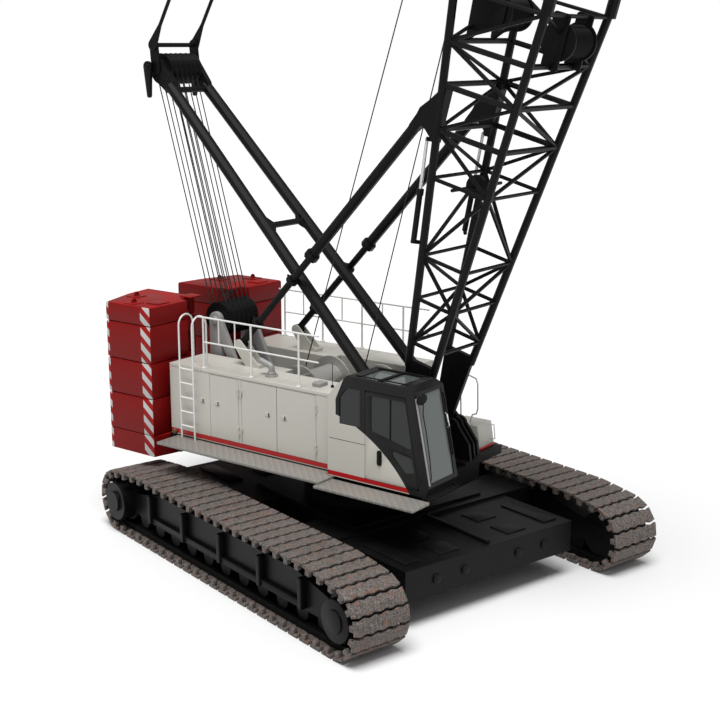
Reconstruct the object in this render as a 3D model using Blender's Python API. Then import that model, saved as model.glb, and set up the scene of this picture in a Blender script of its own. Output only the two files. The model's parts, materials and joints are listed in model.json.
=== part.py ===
"""Lattice-boom crawler crane, in metres, +X forward, +Y left, +Z up.

The upper works lie along the world axes. The tracks are turned under them, as the crane
was parked. Each sub-assembly has its own function, and every size is named below.
"""
import math

import bmesh
import bpy
from mathutils import Matrix, Vector

# Fits shared by the whole machine
SEAT_GAP = 0.0003
RUN_GAP = 0.006
ROUND = 24
TUBE_SIDES = 8
LACE_SIDES = 6

# Tracks and side frames, in the axes of the tracks
TRACK_TURN = math.radians(-15.22)
TRACK_OFFSET = 2.919
SHOE_WIDTH = 1.12
SHOE_PITCH = 0.304
SHOE_GAP = 0.036
SHOE_NOTCH = 0.055
BELT_DEPTH = 0.17
IDLER_X = 3.475
SPROCKET_X = -3.53
END_RADIUS = 0.62
TOP_RUN_X = 2.75
TOP_RUN_Z = 1.331
TOP_RUN_RADIUS = 0.30
FRAME_WIDTH = 0.60
FRAME_FRONT = 2.95
FRAME_LOW = 0.40
FRAME_HIGH = 1.02
WHEEL_RADIUS = 0.43
WHEEL_WIDTH = 0.56
ROLLER_RADIUS = 0.16
ROLLER_WIDTH = 0.52
ROLLER_COUNT = 11
ROLLER_SPAN = 5.80
CARRIER_RADIUS = 0.085
CARRIER_SPAN = 3.60
CARRIER_COUNT = 3
DRIVE_RADIUS = 0.37
DRIVE_CAP_RADIUS = 0.20
DRIVE_CAP_DEPTH = 0.05

# Car body between the tracks
BODY_HALF = 1.50
BODY_LOW = 0.42
BODY_HIGH = 1.12
BEAM_FRONT = 3.41
BEAM_HALF_WIDTH = 1.922
BEAM_LOW = 0.473
BEAM_HIGH = 1.032
AXLE_INNER = 0.70
AXLE_OUTER = 1.70
AXLE_LOW = 0.50
PEDESTAL_RADIUS = 1.20
PEDESTAL_TOP = 1.30
RING_RADIUS = 1.12
RING_TOP = 1.494

# Upper frame
UPPER_LOW = RING_TOP + SEAT_GAP
DECK_TOP = 1.944
DECK_LOW = 1.74
DECK_REAR = -3.56
DECK_FRONT = 0.40
DECK_HALF_WIDTH = 1.62
GIRDER_INNER = 0.33
GIRDER_OUTER = 0.80
NOSE_FRONT = 1.95
TURN_RADIUS = 1.22
CAB_BRACKET_LOW = 1.78
CAB_BRACKET_FRONT = 2.40

# Boom and mast feet on the upper frame
BOOM_FOOT = (1.17, 2.20)
BOOM_ANGLE = math.radians(75.0)
MAST_FOOT = (1.50, 2.47)
BOOM_EYE_INNER = 0.56
BOOM_EYE_OUTER = 0.65
MAST_EYE_INNER = 0.69
MAST_EYE_OUTER = 0.77
CHEEK_OUTER = 0.83
CHEEK_INNER = 0.50
CHEEK_REAR = 0.36
CHEEK_WAIST = 0.22
EYE_RADIUS = 0.14
CHEEK_RADIUS = 0.17
PIN_BOSS_RADIUS = 0.08
PIN_BOSS_DEPTH = 0.03

# Machinery houses
HOUSE_OUTER = 1.60
HOUSE_INNER = 0.60
HOUSE_WAIST = 0.86
HOUSE_WAIST_X = -1.30
HOUSE_REAR = -3.54
HOUSE_FRONT = 0.376
HOUSE_LOW = DECK_TOP + SEAT_GAP
HOUSE_TOP = 3.35
HOUSE_WALL = 0.05
DOOR_LOW = 2.06
DOOR_HIGH = 3.28
DOOR_SEAMS = (-3.26, -2.507, -1.752, -0.867, 0.045)
DOOR_POST = 0.07
CUT_PAST = 0.002
PANEL_GROOVE = 0.012
HINGE_RADIUS = 0.0145
HINGE_REACH = 0.018
HINGE_HEIGHT = 0.07
HINGE_LEVELS = (2.30, 3.02)
HINGE_STRAP = 0.03
STRAP_DEPTH = 0.008
ENGINE = (-2.95, -0.60, 0.94, 1.38, 3.05)

# Counterweight
TRAY_LOW = 1.50
TRAY_HIGH = 1.908
STACK_TOP = 4.432
STACK_SEAMS = (2.643, 3.339, 4.065)
STACK_FRONT = -3.71
STACK_NOTCH = -3.97
STACK_REAR = -4.90
STACK_TAIL = -5.27
STACK_OUTER = 1.918
STACK_SHOULDER = 1.08
STACK_INNER = 0.435
SEAM_DEPTH = 0.02
SEAM_HEIGHT = 0.012

# Cab
CAB_OUTER = -1.78
CAB_INNER = -0.90
CAB_WALL = 0.05
CAB_LOW = DECK_TOP + SEAT_GAP
CAB_OUTLINE = ((0.44, CAB_LOW), (2.50, CAB_LOW), (2.57, 2.12), (2.24, 3.70), (2.08, 3.77),
               (0.86, 3.79), (0.62, 3.58), (0.44, 3.36))
DOOR_OUTLINE = ((1.25, 2.04), (2.38, 2.04), (2.08, 3.60), (1.25, 3.60))
DOOR_GLASS = ((1.36, 2.98), (2.10, 2.98), (2.00, 3.50), (1.36, 3.50))
QUARTER_GLASS = ((0.70, 2.92), (1.14, 2.92), (1.14, 3.58), (0.86, 3.58), (0.70, 3.38))
LEFT_GLASS = ((0.90, 2.70), (2.15, 2.70), (2.02, 3.55), (0.90, 3.55))
ROOF_GLASS_X = (1.05, 1.90)
CAB_HINGES = ((2.26, 0.13), (2.86, 0.25))
HINGE_PAD = 0.05
SCREEN_MARGIN = 0.09
SCREEN_TOP_SHARE = 0.04
SCREEN_LOW_SHARE = 0.86
GLASS_DEPTH = 0.012
SEAT_X = (0.80, 1.45)
SEAT_HALF_WIDTH = 0.22
SEAT_HEIGHT = 0.48
SEAT_BACK_TOP = 1.10
SEAT_BACK_DEPTH = 0.14

# Catwalks, rails and ladder
WALK_OUTER = 2.20
WALK_DEPTH = 0.04
WALK_REAR = -3.357
WALK_FRONT = 2.45
RAIL_RADIUS = 0.022
RAIL_HIGH = 4.33
RAIL_MID = 3.86
RAIL_INSET = 0.05
RAIL_POSTS = (-2.68, -1.50, -0.38)
FAR_POSTS = (-3.30, -2.30, -1.30, -0.30)
LADDER_X = (-3.16, -2.82)
LADDER_RUNGS = 5
LADDER_REACH = 0.11

# Gantry
GANTRY_HEAD = (-3.36, 4.02)
GANTRY_HALF_WIDTH = 0.40
GANTRY_CHEEK = 0.04
GANTRY_SHEAVE_RADIUS = 0.34
GANTRY_FRONT = -2.30
GANTRY_BEAM = 0.12

# Winch drums
DRUMS = (("front", -0.03, 2.95), ("rear", -1.24, 2.95))
DRUM_FLANGE = 0.47
DRUM_CORE = 0.30
DRUM_HALF = 0.50
FLANGE_DEPTH = 0.04
DRUM_STAND_WIDTH = 0.05

# Boom
BASE_LENGTH = 8.20
INSERT_LENGTH = 12.20
TOP_LENGTH = 10.10
TOP_PARALLEL = 6.60
PLATE_LENGTH = 1.75
PLATE_HALF_DEPTH = 0.305
CHORD_RADIUS = 0.07
LACE_RADIUS = 0.035
FRAME_RADIUS = 0.05
LUG_RADIUS = 0.10
LUG_LENGTH = 0.22
KNEE_RADIUS = 0.088
KNEE_REACH = 0.11
BOOM_HALF_WIDTH = 1.05
BOOM_HALF_DEPTH = 0.86
BASE_STATIONS = (2.05, 2.85, 3.61, 4.95, 5.75, 6.48, 7.17, 7.98)
HEAVY_STATIONS = (5.75, 6.48, 7.17)
INSERT_BAYS = 6
TOP_BAYS = 3
HEAD_HALF_WIDTH = 0.42
HEAD_HALF_DEPTH = 0.42
HEAD_PLATE = 0.05
TIP_AXLE = (0.16, 0.42)
TIP_SHEAVE_RADIUS = 0.38
PENDANT_EAR = (-0.25, -0.82)
HEAD_OUTLINE = ((-0.75, -0.50), (-0.75, 0.50), (-0.05, 0.64), (0.26, 0.64), (0.40, 0.44),
                (0.34, -0.10), (0.0, -0.62), (-0.15, -0.92), (-0.35, -0.92), (-0.45, -0.66))

# Mast and pendants
MAST_HEAD = (-4.70, 8.80)
MAST_HEAD_HALF = 0.47
MAST_RADIUS = 0.115
MAST_SHEAVE_RADIUS = 0.30
MAST_BRACE = 0.555
MAST_TUBE_START = 0.075
MAST_TUBE_END = 0.95
MAST_HEAD_CHEEK = 0.06
LINK_PLATE = 0.03
LINK_RADIUS = 0.11
SPREADER = (-4.74, 9.25)
SPREADER_RADIUS = 0.045
PENDANT_RADIUS = 0.035
PENDANT_EYE = 0.09
PENDANT_LINK = 0.42
PENDANT_SOCKET = 0.25

# Backstops
STOP_SIDE = 0.85
STOP_HEAD = (1.76, 8.14)
STOP_FOOT = (-2.36, 3.74)
STOP_TUBE_RADIUS = 0.095
STOP_ROD_RADIUS = 0.065
STOP_TUBE_LENGTH = 3.55
STOP_NECK = 0.24
STOP_BORE_START = 0.38
STOP_ROD_START = 0.66
STOP_EYE_HALF = 0.07
STOP_EYE_RADIUS = 0.10
BRACKET_PLATE = 0.03
BRACKET_LEAN = 0.35

# Rope wheels
GROOVE_DEPTH = 0.05

# Hook block
HOOK_DROP = 3.2
ROPE_RADIUS = 0.016


def clear_scene():
    for thing in list(bpy.data.objects):
        bpy.data.objects.remove(thing, do_unlink=True)


def finish(name, colour, rough, metal=0.0):
    material = bpy.data.materials.new(name + "_finish")
    material.use_nodes = True
    shader = material.node_tree.nodes["Principled BSDF"]
    shader.inputs["Base Color"].default_value = (*colour, 1.0)
    shader.inputs["Roughness"].default_value = rough
    shader.inputs["Metallic"].default_value = metal
    return material


FINISHES = {
    "black": ((0.035, 0.036, 0.038), 0.45, 0.0),
    "cream": ((0.72, 0.70, 0.62), 0.40, 0.0),
    "red": ((0.42, 0.03, 0.03), 0.45, 0.0),
    "shoe": ((0.25, 0.22, 0.20), 0.70, 0.6),
    "plate": ((0.60, 0.60, 0.58), 0.50, 0.4),
    "glass": ((0.05, 0.07, 0.08), 0.08, 0.0),
    "steel": ((0.62, 0.62, 0.60), 0.35, 0.7),
    "rubber": ((0.02, 0.02, 0.02), 0.80, 0.0),
}


def box(x, y, z):
    points = [(a, b, c) for a in x for b in y for c in z]
    faces = [(0, 1, 3, 2), (4, 6, 7, 5), (0, 4, 5, 1), (2, 3, 7, 6), (0, 2, 6, 4), (1, 5, 7, 3)]
    return points, faces


def prism(outline, start, end, axis="y"):
    """Extrude a plane outline from start to end along one axis."""
    count = len(outline)
    points = []
    for level in (start, end):
        for a, b in outline:
            points.append({"x": (level, a, b), "y": (a, level, b), "z": (a, b, level)}[axis])
    faces = [tuple(range(count)), tuple(range(2 * count - 1, count - 1, -1))]
    for i in range(count):
        j = (i + 1) % count
        faces.append((i, i + count, j + count, j))
    return points, faces


def rod(start, end, radius, sides=TUBE_SIDES):
    """A straight round bar between two points."""
    start = Vector(start)
    end = Vector(end)
    along = (end - start).normalized()
    side = along.orthogonal().normalized()
    if abs(along.y) < 0.99:
        side = along.cross(Vector((0.0, 1.0, 0.0))).normalized()
    up = along.cross(side)
    points = []
    for centre in (start, end):
        for i in range(sides):
            turn = 2.0 * math.pi * (i + 0.5) / sides
            points.append(tuple(centre + side * math.cos(turn) * radius + up * math.sin(turn) * radius))
    faces = [tuple(range(sides)), tuple(range(2 * sides - 1, sides - 1, -1))]
    for i in range(sides):
        j = (i + 1) % sides
        faces.append((i, i + sides, j + sides, j))
    return points, faces


def turned(centre, profile, sides=ROUND):
    """Revolve a profile of (y, radius) steps about an axle along Y through centre (x, z)."""
    points = []
    for y, radius in profile:
        for i in range(sides):
            turn = 2.0 * math.pi * i / sides - math.pi / 2.0
            points.append((centre[0] + radius * math.cos(turn), y, centre[1] + radius * math.sin(turn)))
    rings = len(profile)
    faces = [tuple(range(sides)), tuple(range(rings * sides - 1, (rings - 1) * sides - 1, -1))]
    for k in range(rings - 1):
        for i in range(sides):
            j = (i + 1) % sides
            faces.append((k * sides + i, (k + 1) * sides + i, (k + 1) * sides + j, k * sides + j))
    return points, faces


def disc(centre, radius, start, end, sides=ROUND):
    return turned(centre, ((start, radius), (end, radius)), sides)


def tower(radius, low, high, sides=32):
    """An upright cylinder on the slewing axis."""
    outline = [(radius * math.cos(2 * math.pi * i / sides), radius * math.sin(2 * math.pi * i / sides))
               for i in range(sides)]
    return prism(outline, low, high, "z")


def link(centre_a, radius_a, centre_b, radius_b, start, end, sides=8):
    """A flat link with two round ends, in a plane across Y."""
    dx = centre_b[0] - centre_a[0]
    dz = centre_b[1] - centre_a[1]
    heading = math.atan2(dz, dx)
    outline = []
    for centre, radius, first in ((centre_a, radius_a, heading + math.pi / 2),
                                  (centre_b, radius_b, heading - math.pi / 2)):
        for i in range(sides + 1):
            turn = first + math.pi * i / sides
            outline.append((centre[0] + radius * math.cos(turn), centre[1] + radius * math.sin(turn)))
    return prism(outline, start, end)


def to_mesh(name, pieces):
    """One mesh that holds every piece as a closed shell facing outward."""
    mesh = bpy.data.meshes.new(name)
    build = bmesh.new()
    for points, faces in pieces:
        shell = bmesh.new()
        corners = [shell.verts.new(p) for p in points]
        for face in faces:
            shell.faces.new([corners[i] for i in face])
        bmesh.ops.recalc_face_normals(shell, faces=shell.faces)
        part = bpy.data.meshes.new("shell")
        shell.to_mesh(part)
        shell.free()
        build.from_mesh(part)
        bpy.data.meshes.remove(part)
    build.to_mesh(mesh)
    build.free()
    return mesh


def spare(name, pieces):
    thing = bpy.data.objects.new(name, to_mesh(name, pieces))
    bpy.context.scene.collection.objects.link(thing)
    return thing


def node(name, look, pieces, cuts=(), pivot=(0.0, 0.0, 0.0), turn=0.0, smooth=False):
    """Join the pieces into one closed solid, take the cuts out and give it its finish."""
    thing = spare(name, pieces[:1])
    helpers = []
    steps = []
    if len(pieces) > 1:
        steps.append(("UNION", pieces[1:]))
    if cuts:
        steps.append(("DIFFERENCE", cuts))
    for operation, shells in steps:
        helper = spare(name + "_helper", shells)
        helpers.append(helper)
        change = thing.modifiers.new(operation.lower(), "BOOLEAN")
        change.operation = operation
        change.object = helper
        change.solver = "EXACT"
        change.use_self = True
    if steps:
        bpy.context.view_layer.update()
        seen = thing.evaluated_get(bpy.context.evaluated_depsgraph_get())
        result = bpy.data.meshes.new_from_object(seen)
        thing.modifiers.clear()
        thing.data = result
    for helper in helpers:
        bpy.data.objects.remove(helper, do_unlink=True)
    tidy = bmesh.new()
    tidy.from_mesh(thing.data)
    bmesh.ops.remove_doubles(tidy, verts=tidy.verts, dist=0.00002)
    bmesh.ops.dissolve_degenerate(tidy, edges=tidy.edges, dist=0.00002)
    if turn:
        bmesh.ops.rotate(tidy, verts=tidy.verts, cent=(0, 0, 0), matrix=Matrix.Rotation(turn, 3, "Z"))
    bmesh.ops.translate(tidy, verts=tidy.verts, vec=[-value for value in pivot])
    tidy.to_mesh(thing.data)
    tidy.free()
    thing.location = pivot
    thing.data.materials.clear()
    thing.data.materials.append(finish(name, *FINISHES[look]))
    if smooth:
        for face in thing.data.polygons:
            face.use_smooth = True
    return thing


def sided(side, inner, outer):
    """A pair of Y values on one side, in rising order."""
    return tuple(sorted((side * inner, side * outer)))


# Track belt


def belt_circles(inset):
    top = TOP_RUN_Z - TOP_RUN_RADIUS
    rows = ((IDLER_X, END_RADIUS, END_RADIUS), (TOP_RUN_X, top, TOP_RUN_RADIUS),
            (-TOP_RUN_X, top, TOP_RUN_RADIUS), (SPROCKET_X, END_RADIUS, END_RADIUS))
    return [(x, z, radius - inset) for x, z, radius in rows]


def belt_path():
    """Lines and arcs of the taut belt round its four wheels, with their lengths."""
    circles = belt_circles(0.0)
    count = len(circles)
    headings = []
    for i in range(count):
        a = circles[i]
        b = circles[(i + 1) % count]
        dx = b[0] - a[0]
        dz = b[1] - a[1]
        span = math.hypot(dx, dz)
        headings.append(math.atan2(dz, dx) - math.pi / 2 + math.asin((a[2] - b[2]) / span))
    path = []
    for i in range(count):
        x, z, radius = circles[i]
        enter = headings[i - 1]
        leave = headings[i]
        sweep = (leave - enter) % (2 * math.pi)
        path.append(("arc", (x, z, radius, enter), sweep * radius))
        following = circles[(i + 1) % count]
        start = Vector((x + radius * math.cos(leave), z + radius * math.sin(leave)))
        end = Vector((following[0] + following[2] * math.cos(leave),
                      following[1] + following[2] * math.sin(leave)))
        path.append(("line", (start, end, leave), (end - start).length))
    return path


def belt_point(path, distance, inset):
    """The point at one distance round the belt, moved in by the inset."""
    for kind, data, length in path:
        if distance <= length:
            break
        distance -= length
    if kind == "arc":
        x, z, radius, enter = data
        turn = enter + distance / radius
        return (x + (radius - inset) * math.cos(turn), z + (radius - inset) * math.sin(turn))
    start, end, turn = data
    at = start.lerp(end, min(distance / length, 1.0))
    return (at.x - inset * math.cos(turn), at.y - inset * math.sin(turn))


def track(side):
    """The belt as one closed ring with its shoes standing out of it."""
    path = belt_path()
    total = sum(length for kind, data, length in path)
    count = round(total / SHOE_PITCH)
    pitch = total / count
    points = []
    for y in sided(side, TRACK_OFFSET - SHOE_WIDTH / 2, TRACK_OFFSET + SHOE_WIDTH / 2):
        for i in range(count):
            first = i * pitch + SHOE_GAP / 2
            last = (i + 1) * pitch - SHOE_GAP / 2
            row = [(i * pitch, BELT_DEPTH), (first, SHOE_NOTCH), (first, 0.0), (last, 0.0), (last, SHOE_NOTCH)]
            for distance, inset in row:
                x, z = belt_point(path, distance, inset)
                points.append((x, y, z))
    half = count * 5
    faces = []
    for i in range(count):
        a = i * 5
        b = ((i + 1) % count) * 5
        side_face = [a, a + 1, a + 2, a + 3, a + 4, b + 1, b]
        faces.append((a, a + 1, a + 2, a + 3, a + 4, b))
        faces.append((a + 4, b + 1, b))
        faces.append(tuple(reversed([v + half for v in (a, a + 1, a + 2, a + 3, a + 4, b)])))
        faces.append(tuple(reversed([v + half for v in (a + 4, b + 1, b)])))
        for first, second in zip(side_face[1:-2], side_face[2:-1]):
            faces.append((first, second, second + half, first + half))
        faces.append((a, b, b + half, a + half))
    return points, faces


def side_frame(side):
    centre = side * TRACK_OFFSET
    wide = (centre - FRAME_WIDTH / 2, centre + FRAME_WIDTH / 2)
    outline = ((-FRAME_FRONT, FRAME_LOW), (FRAME_FRONT, FRAME_LOW), (IDLER_X, END_RADIUS - 0.12),
               (IDLER_X, END_RADIUS + 0.12), (FRAME_FRONT, 0.86), (2.2, FRAME_HIGH), (-2.2, FRAME_HIGH),
               (-FRAME_FRONT, 0.86), (SPROCKET_X, END_RADIUS + 0.12), (SPROCKET_X, END_RADIUS - 0.12))
    pieces = [prism(outline, *wide)]
    for x in (IDLER_X, SPROCKET_X):
        pieces.append(disc((x, END_RADIUS), WHEEL_RADIUS, centre - WHEEL_WIDTH / 2, centre + WHEEL_WIDTH / 2))
    end = TRACK_OFFSET + SHOE_WIDTH / 2
    steps = ((TRACK_OFFSET, DRIVE_RADIUS), (end, DRIVE_RADIUS), (end, DRIVE_CAP_RADIUS),
             (end + DRIVE_CAP_DEPTH, DRIVE_CAP_RADIUS))
    pieces.append(turned((SPROCKET_X, END_RADIUS), [(side * y, radius) for y, radius in steps]))
    for i in range(ROLLER_COUNT):
        x = -ROLLER_SPAN / 2 + ROLLER_SPAN * i / (ROLLER_COUNT - 1)
        at = (x, BELT_DEPTH + SEAT_GAP + ROLLER_RADIUS)
        pieces.append(disc(at, ROLLER_RADIUS, centre - ROLLER_WIDTH / 2, centre + ROLLER_WIDTH / 2, 12))
    for i in range(CARRIER_COUNT):
        x = -CARRIER_SPAN / 2 + CARRIER_SPAN * i / (CARRIER_COUNT - 1)
        at = (x, TOP_RUN_Z - BELT_DEPTH - SEAT_GAP - CARRIER_RADIUS)
        pieces.append(disc(at, CARRIER_RADIUS, centre - ROLLER_WIDTH / 2, centre + ROLLER_WIDTH / 2, 12))
    return pieces


def lower_works():
    for side, name in ((1, "left"), (-1, "right")):
        node("track_" + name, "shoe", [track(side)], turn=TRACK_TURN)
        node("side_frame_" + name, "black", side_frame(side), turn=TRACK_TURN)
    reach = TRACK_OFFSET - FRAME_WIDTH / 2 - SEAT_GAP
    pieces = [box((-BODY_HALF, BODY_HALF), (-BODY_HALF, BODY_HALF), (BODY_LOW, BODY_HIGH))]
    for end in (1, -1):
        pieces.append(box(sided(end, BODY_HALF - 0.1, BEAM_FRONT), (-BEAM_HALF_WIDTH, BEAM_HALF_WIDTH),
                          (BEAM_LOW, BEAM_HIGH)))
        pieces.append(box(sided(end, AXLE_INNER, AXLE_OUTER), (-reach, reach), (AXLE_LOW, BODY_HIGH - 0.04)))
    pieces.append(tower(PEDESTAL_RADIUS, BODY_HIGH - 0.1, PEDESTAL_TOP))
    node("car_body", "black", pieces, turn=TRACK_TURN)
    node("slewing_ring", "steel", [tower(RING_RADIUS, PEDESTAL_TOP + SEAT_GAP, RING_TOP, 48)])


# Upper frame


def cheek(side, inner, outer):
    """One foot bracket plate that stands on the nose of the frame."""
    y = sided(side, inner, outer)
    x, z = BOOM_FOOT
    top_x, top_z = MAST_FOOT
    outline = [(x - CHEEK_REAR, DECK_TOP - 0.1), (NOSE_FRONT, DECK_TOP - 0.1), (NOSE_FRONT - 0.05, z)]
    for i in range(7):
        turn = math.radians(10 + 160 * i / 6)
        outline.append((top_x + CHEEK_RADIUS * math.cos(turn), top_z + CHEEK_RADIUS * math.sin(turn)))
    outline.append((x - CHEEK_WAIST, z))
    return prism(outline, *y)


def upper_frame():
    pieces = [box((DECK_REAR, DECK_FRONT), (-DECK_HALF_WIDTH, DECK_HALF_WIDTH), (DECK_LOW, DECK_TOP))]
    for side in (1, -1):
        low = ((DECK_REAR, UPPER_LOW), (NOSE_FRONT, UPPER_LOW), (NOSE_FRONT, DECK_TOP - 0.05),
               (DECK_REAR, DECK_TOP - 0.05))
        pieces.append(prism(low, *sided(side, GIRDER_INNER, GIRDER_OUTER)))
        for inner, outer in ((CHEEK_INNER, BOOM_EYE_INNER - SEAT_GAP),
                             (BOOM_EYE_OUTER + SEAT_GAP, MAST_EYE_INNER - SEAT_GAP),
                             (MAST_EYE_OUTER + SEAT_GAP, CHEEK_OUTER)):
            pieces.append(cheek(side, inner, outer))
    pieces.append(tower(TURN_RADIUS, UPPER_LOW, DECK_LOW + 0.05))
    for x in (DECK_REAR, -1.9, DECK_FRONT, NOSE_FRONT - 0.12):
        pieces.append(box((x, x + 0.12), (-GIRDER_OUTER + 0.02, GIRDER_OUTER - 0.02), (UPPER_LOW, DECK_TOP - 0.1)))
    pieces.append(box((DECK_FRONT, CAB_BRACKET_FRONT), (CAB_OUTER + 0.06, -GIRDER_OUTER + 0.1),
                      (CAB_BRACKET_LOW, DECK_TOP)))
    pieces.append(box((DECK_FRONT - 0.1, NOSE_FRONT), (GIRDER_OUTER - 0.1, HOUSE_OUTER),
                      (CAB_BRACKET_LOW, DECK_TOP)))
    for side in (1, -1):
        for row, x, z in DRUMS:
            stand = ((x - 0.30, DECK_TOP - 0.1), (x + 0.30, DECK_TOP - 0.1), (x + 0.12, z + 0.1), (x - 0.12, z + 0.1))
            pieces.append(prism(stand, *sided(side, DRUM_HALF + SEAT_GAP, DRUM_HALF + DRUM_STAND_WIDTH)))
    node("upper_frame", "black", pieces)


# Houses with doors


def knuckle(x, side, low, toward, wall):
    """Half a hinge: a short barrel outside the wall and the strap that holds it."""
    y = side * (wall + HINGE_REACH)
    barrel = prism([(x + HINGE_RADIUS * math.cos(math.pi * i / 6), y + HINGE_RADIUS * math.sin(math.pi * i / 6))
                    for i in range(12)], low, low + HINGE_HEIGHT, "z")
    strap = box(tuple(sorted((x + toward * SEAT_GAP, x + toward * HINGE_STRAP))),
                sided(side, wall - STRAP_DEPTH, wall + HINGE_REACH), (low, low + HINGE_HEIGHT))
    return [barrel, strap]


def door_rows():
    """Each leaf of one side: its two edges, its hinge and the way it lies from that hinge."""
    post = DOOR_POST / 2
    a, b, c, d, e = DOOR_SEAMS
    return ((a, b, a, 1), (b, c - post, c - post, -1), (c + post, d, c + post, 1), (d, e, e, -1))


def fixed_leaf(side, number):
    """The leaf behind the ladder can't open, so it is part of the wall."""
    return side < 0 and number == 0


def house(side, name):
    outline = [(HOUSE_REAR, HOUSE_OUTER), (HOUSE_FRONT, HOUSE_OUTER), (HOUSE_FRONT, HOUSE_WAIST),
               (HOUSE_WAIST_X, HOUSE_WAIST), (HOUSE_WAIST_X, HOUSE_INNER), (HOUSE_REAR, HOUSE_INNER)]
    wall = HOUSE_WALL
    room = [(HOUSE_REAR + wall, HOUSE_OUTER - wall), (HOUSE_FRONT - wall, HOUSE_OUTER - wall),
            (HOUSE_FRONT - wall, HOUSE_WAIST + wall), (HOUSE_WAIST_X - wall, HOUSE_WAIST + wall),
            (HOUSE_WAIST_X - wall, HOUSE_INNER + wall), (HOUSE_REAR + wall, HOUSE_INNER + wall)]
    solids = [prism([(x, side * y) for x, y in outline], HOUSE_LOW, HOUSE_TOP, "z")]
    cuts = [prism([(x, side * y) for x, y in room], HOUSE_LOW + wall, HOUSE_TOP - wall, "z")]
    rows = door_rows()
    for first, last in ((0, 1), (2, 3)):
        if fixed_leaf(side, first):
            groove = (rows[first][0] - PANEL_GROOVE, rows[first][0])
            cuts.append(box(groove, sided(side, HOUSE_OUTER - PANEL_GROOVE, HOUSE_OUTER + CUT_PAST),
                            (DOOR_LOW, DOOR_HIGH)))
            first = last
        cuts.append(box((rows[first][0], rows[last][1]), sided(side, HOUSE_OUTER - 2 * wall, HOUSE_OUTER + CUT_PAST),
                        (DOOR_LOW, DOOR_HIGH)))
    for number, (start, end, hinge, lies) in enumerate(rows):
        if fixed_leaf(side, number):
            continue
        x = (start + RUN_GAP, end - RUN_GAP)
        pieces = [box(x, sided(side, HOUSE_OUTER - wall, HOUSE_OUTER), (DOOR_LOW + RUN_GAP, DOOR_HIGH - RUN_GAP))]
        for level in HINGE_LEVELS:
            pieces += knuckle(hinge, side, level, lies, HOUSE_OUTER)
            solids += knuckle(hinge, side, level - HINGE_HEIGHT - SEAT_GAP, -lies, HOUSE_OUTER)
        pivot = (hinge, side * (HOUSE_OUTER + HINGE_REACH), DOOR_LOW)
        node("house_door_%s_%d" % (name, number + 1), "cream", pieces, pivot=pivot)
    solids += stop_bracket(side)
    body = node("house_" + name, "cream", solids, cuts)
    rear, front, inner, outer, top = ENGINE
    low = HOUSE_LOW + wall + SEAT_GAP
    shown = "engine" if side < 0 else "pump_unit"
    node(shown, "black", [box((rear, front), sided(side, inner, outer), (low, top))])
    return body


def stop_bracket(side):
    """The leaning arm on the roof that holds the foot of one backstop."""
    x, z = STOP_FOOT
    solids = []
    for inner, outer in ((STOP_SIDE - STOP_EYE_HALF - SEAT_GAP - BRACKET_PLATE, STOP_SIDE - STOP_EYE_HALF - SEAT_GAP),
                         (STOP_SIDE + STOP_EYE_HALF + SEAT_GAP, STOP_SIDE + STOP_EYE_HALF + SEAT_GAP + BRACKET_PLATE)):
        solids.append(link((x, z), STOP_EYE_RADIUS, (x + BRACKET_LEAN, HOUSE_TOP), 0.14, *sided(side, inner, outer)))
    reach = STOP_SIDE + STOP_EYE_HALF + BRACKET_PLATE
    solids.append(box((x + BRACKET_LEAN - 0.18, x + BRACKET_LEAN + 0.18),
                      sided(side, 2 * STOP_SIDE - reach, reach), (HOUSE_TOP - 0.02, HOUSE_TOP + 0.06)))
    return solids


# Counterweight


def counterweight():
    tray = [(STACK_FRONT + 0.149, 1.30), (STACK_NOTCH, 0.80), (STACK_NOTCH, -0.80), (STACK_FRONT + 0.149, -1.30),
            (STACK_FRONT, -STACK_OUTER), (STACK_REAR, -STACK_OUTER), (STACK_TAIL + 0.09, -STACK_SHOULDER),
            (STACK_TAIL, -STACK_INNER), (STACK_TAIL, STACK_INNER), (STACK_TAIL + 0.09, STACK_SHOULDER),
            (STACK_REAR, STACK_OUTER), (STACK_FRONT, STACK_OUTER)]
    reach = box((STACK_NOTCH - 0.2, DECK_REAR - SEAT_GAP), (-0.75, 0.75), (TRAY_LOW + 0.02, TRAY_HIGH - 0.02))
    node("counterweight_tray", "red", [prism(tray, TRAY_LOW, TRAY_HIGH - SEAT_GAP, "z"), reach])
    levels = (TRAY_HIGH,) + STACK_SEAMS + (STACK_TOP,)
    for side, name in ((1, "left"), (-1, "right")):
        outline = [(STACK_FRONT, STACK_OUTER), (STACK_REAR, STACK_OUTER), (STACK_TAIL + 0.09, STACK_SHOULDER),
                   (STACK_TAIL, STACK_INNER), (STACK_NOTCH, STACK_INNER), (STACK_NOTCH, 0.825), (STACK_FRONT, 0.90)]
        outline = [(x, side * y) for x, y in outline]
        for k in range(len(levels) - 1):
            slab = prism(outline, levels[k] + SEAT_GAP / 2, levels[k + 1] - SEAT_GAP / 2, "z")
            node("slab_%s_%d" % (name, k + 1), "red", [slab])


# Cab


def inset_outline(outline, amount):
    """Move each edge of a closed outline inward by the same amount."""
    count = len(outline)
    area = sum(outline[i][0] * outline[(i + 1) % count][1] - outline[(i + 1) % count][0] * outline[i][1]
               for i in range(count))
    turn = 1.0 if area > 0 else -1.0
    lines = []
    for i in range(count):
        a = Vector(outline[i])
        b = Vector(outline[(i + 1) % count])
        along = (b - a).normalized()
        inward = Vector((-along.y, along.x)) * turn
        lines.append((a + inward * amount, along))
    result = []
    for i in range(count):
        p, d = lines[i - 1]
        q, e = lines[i]
        cross = d.x * e.y - d.y * e.x
        t = ((q - p).x * e.y - (q - p).y * e.x) / cross
        at = p + d * t
        result.append((at.x, at.y))
    return result


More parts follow.
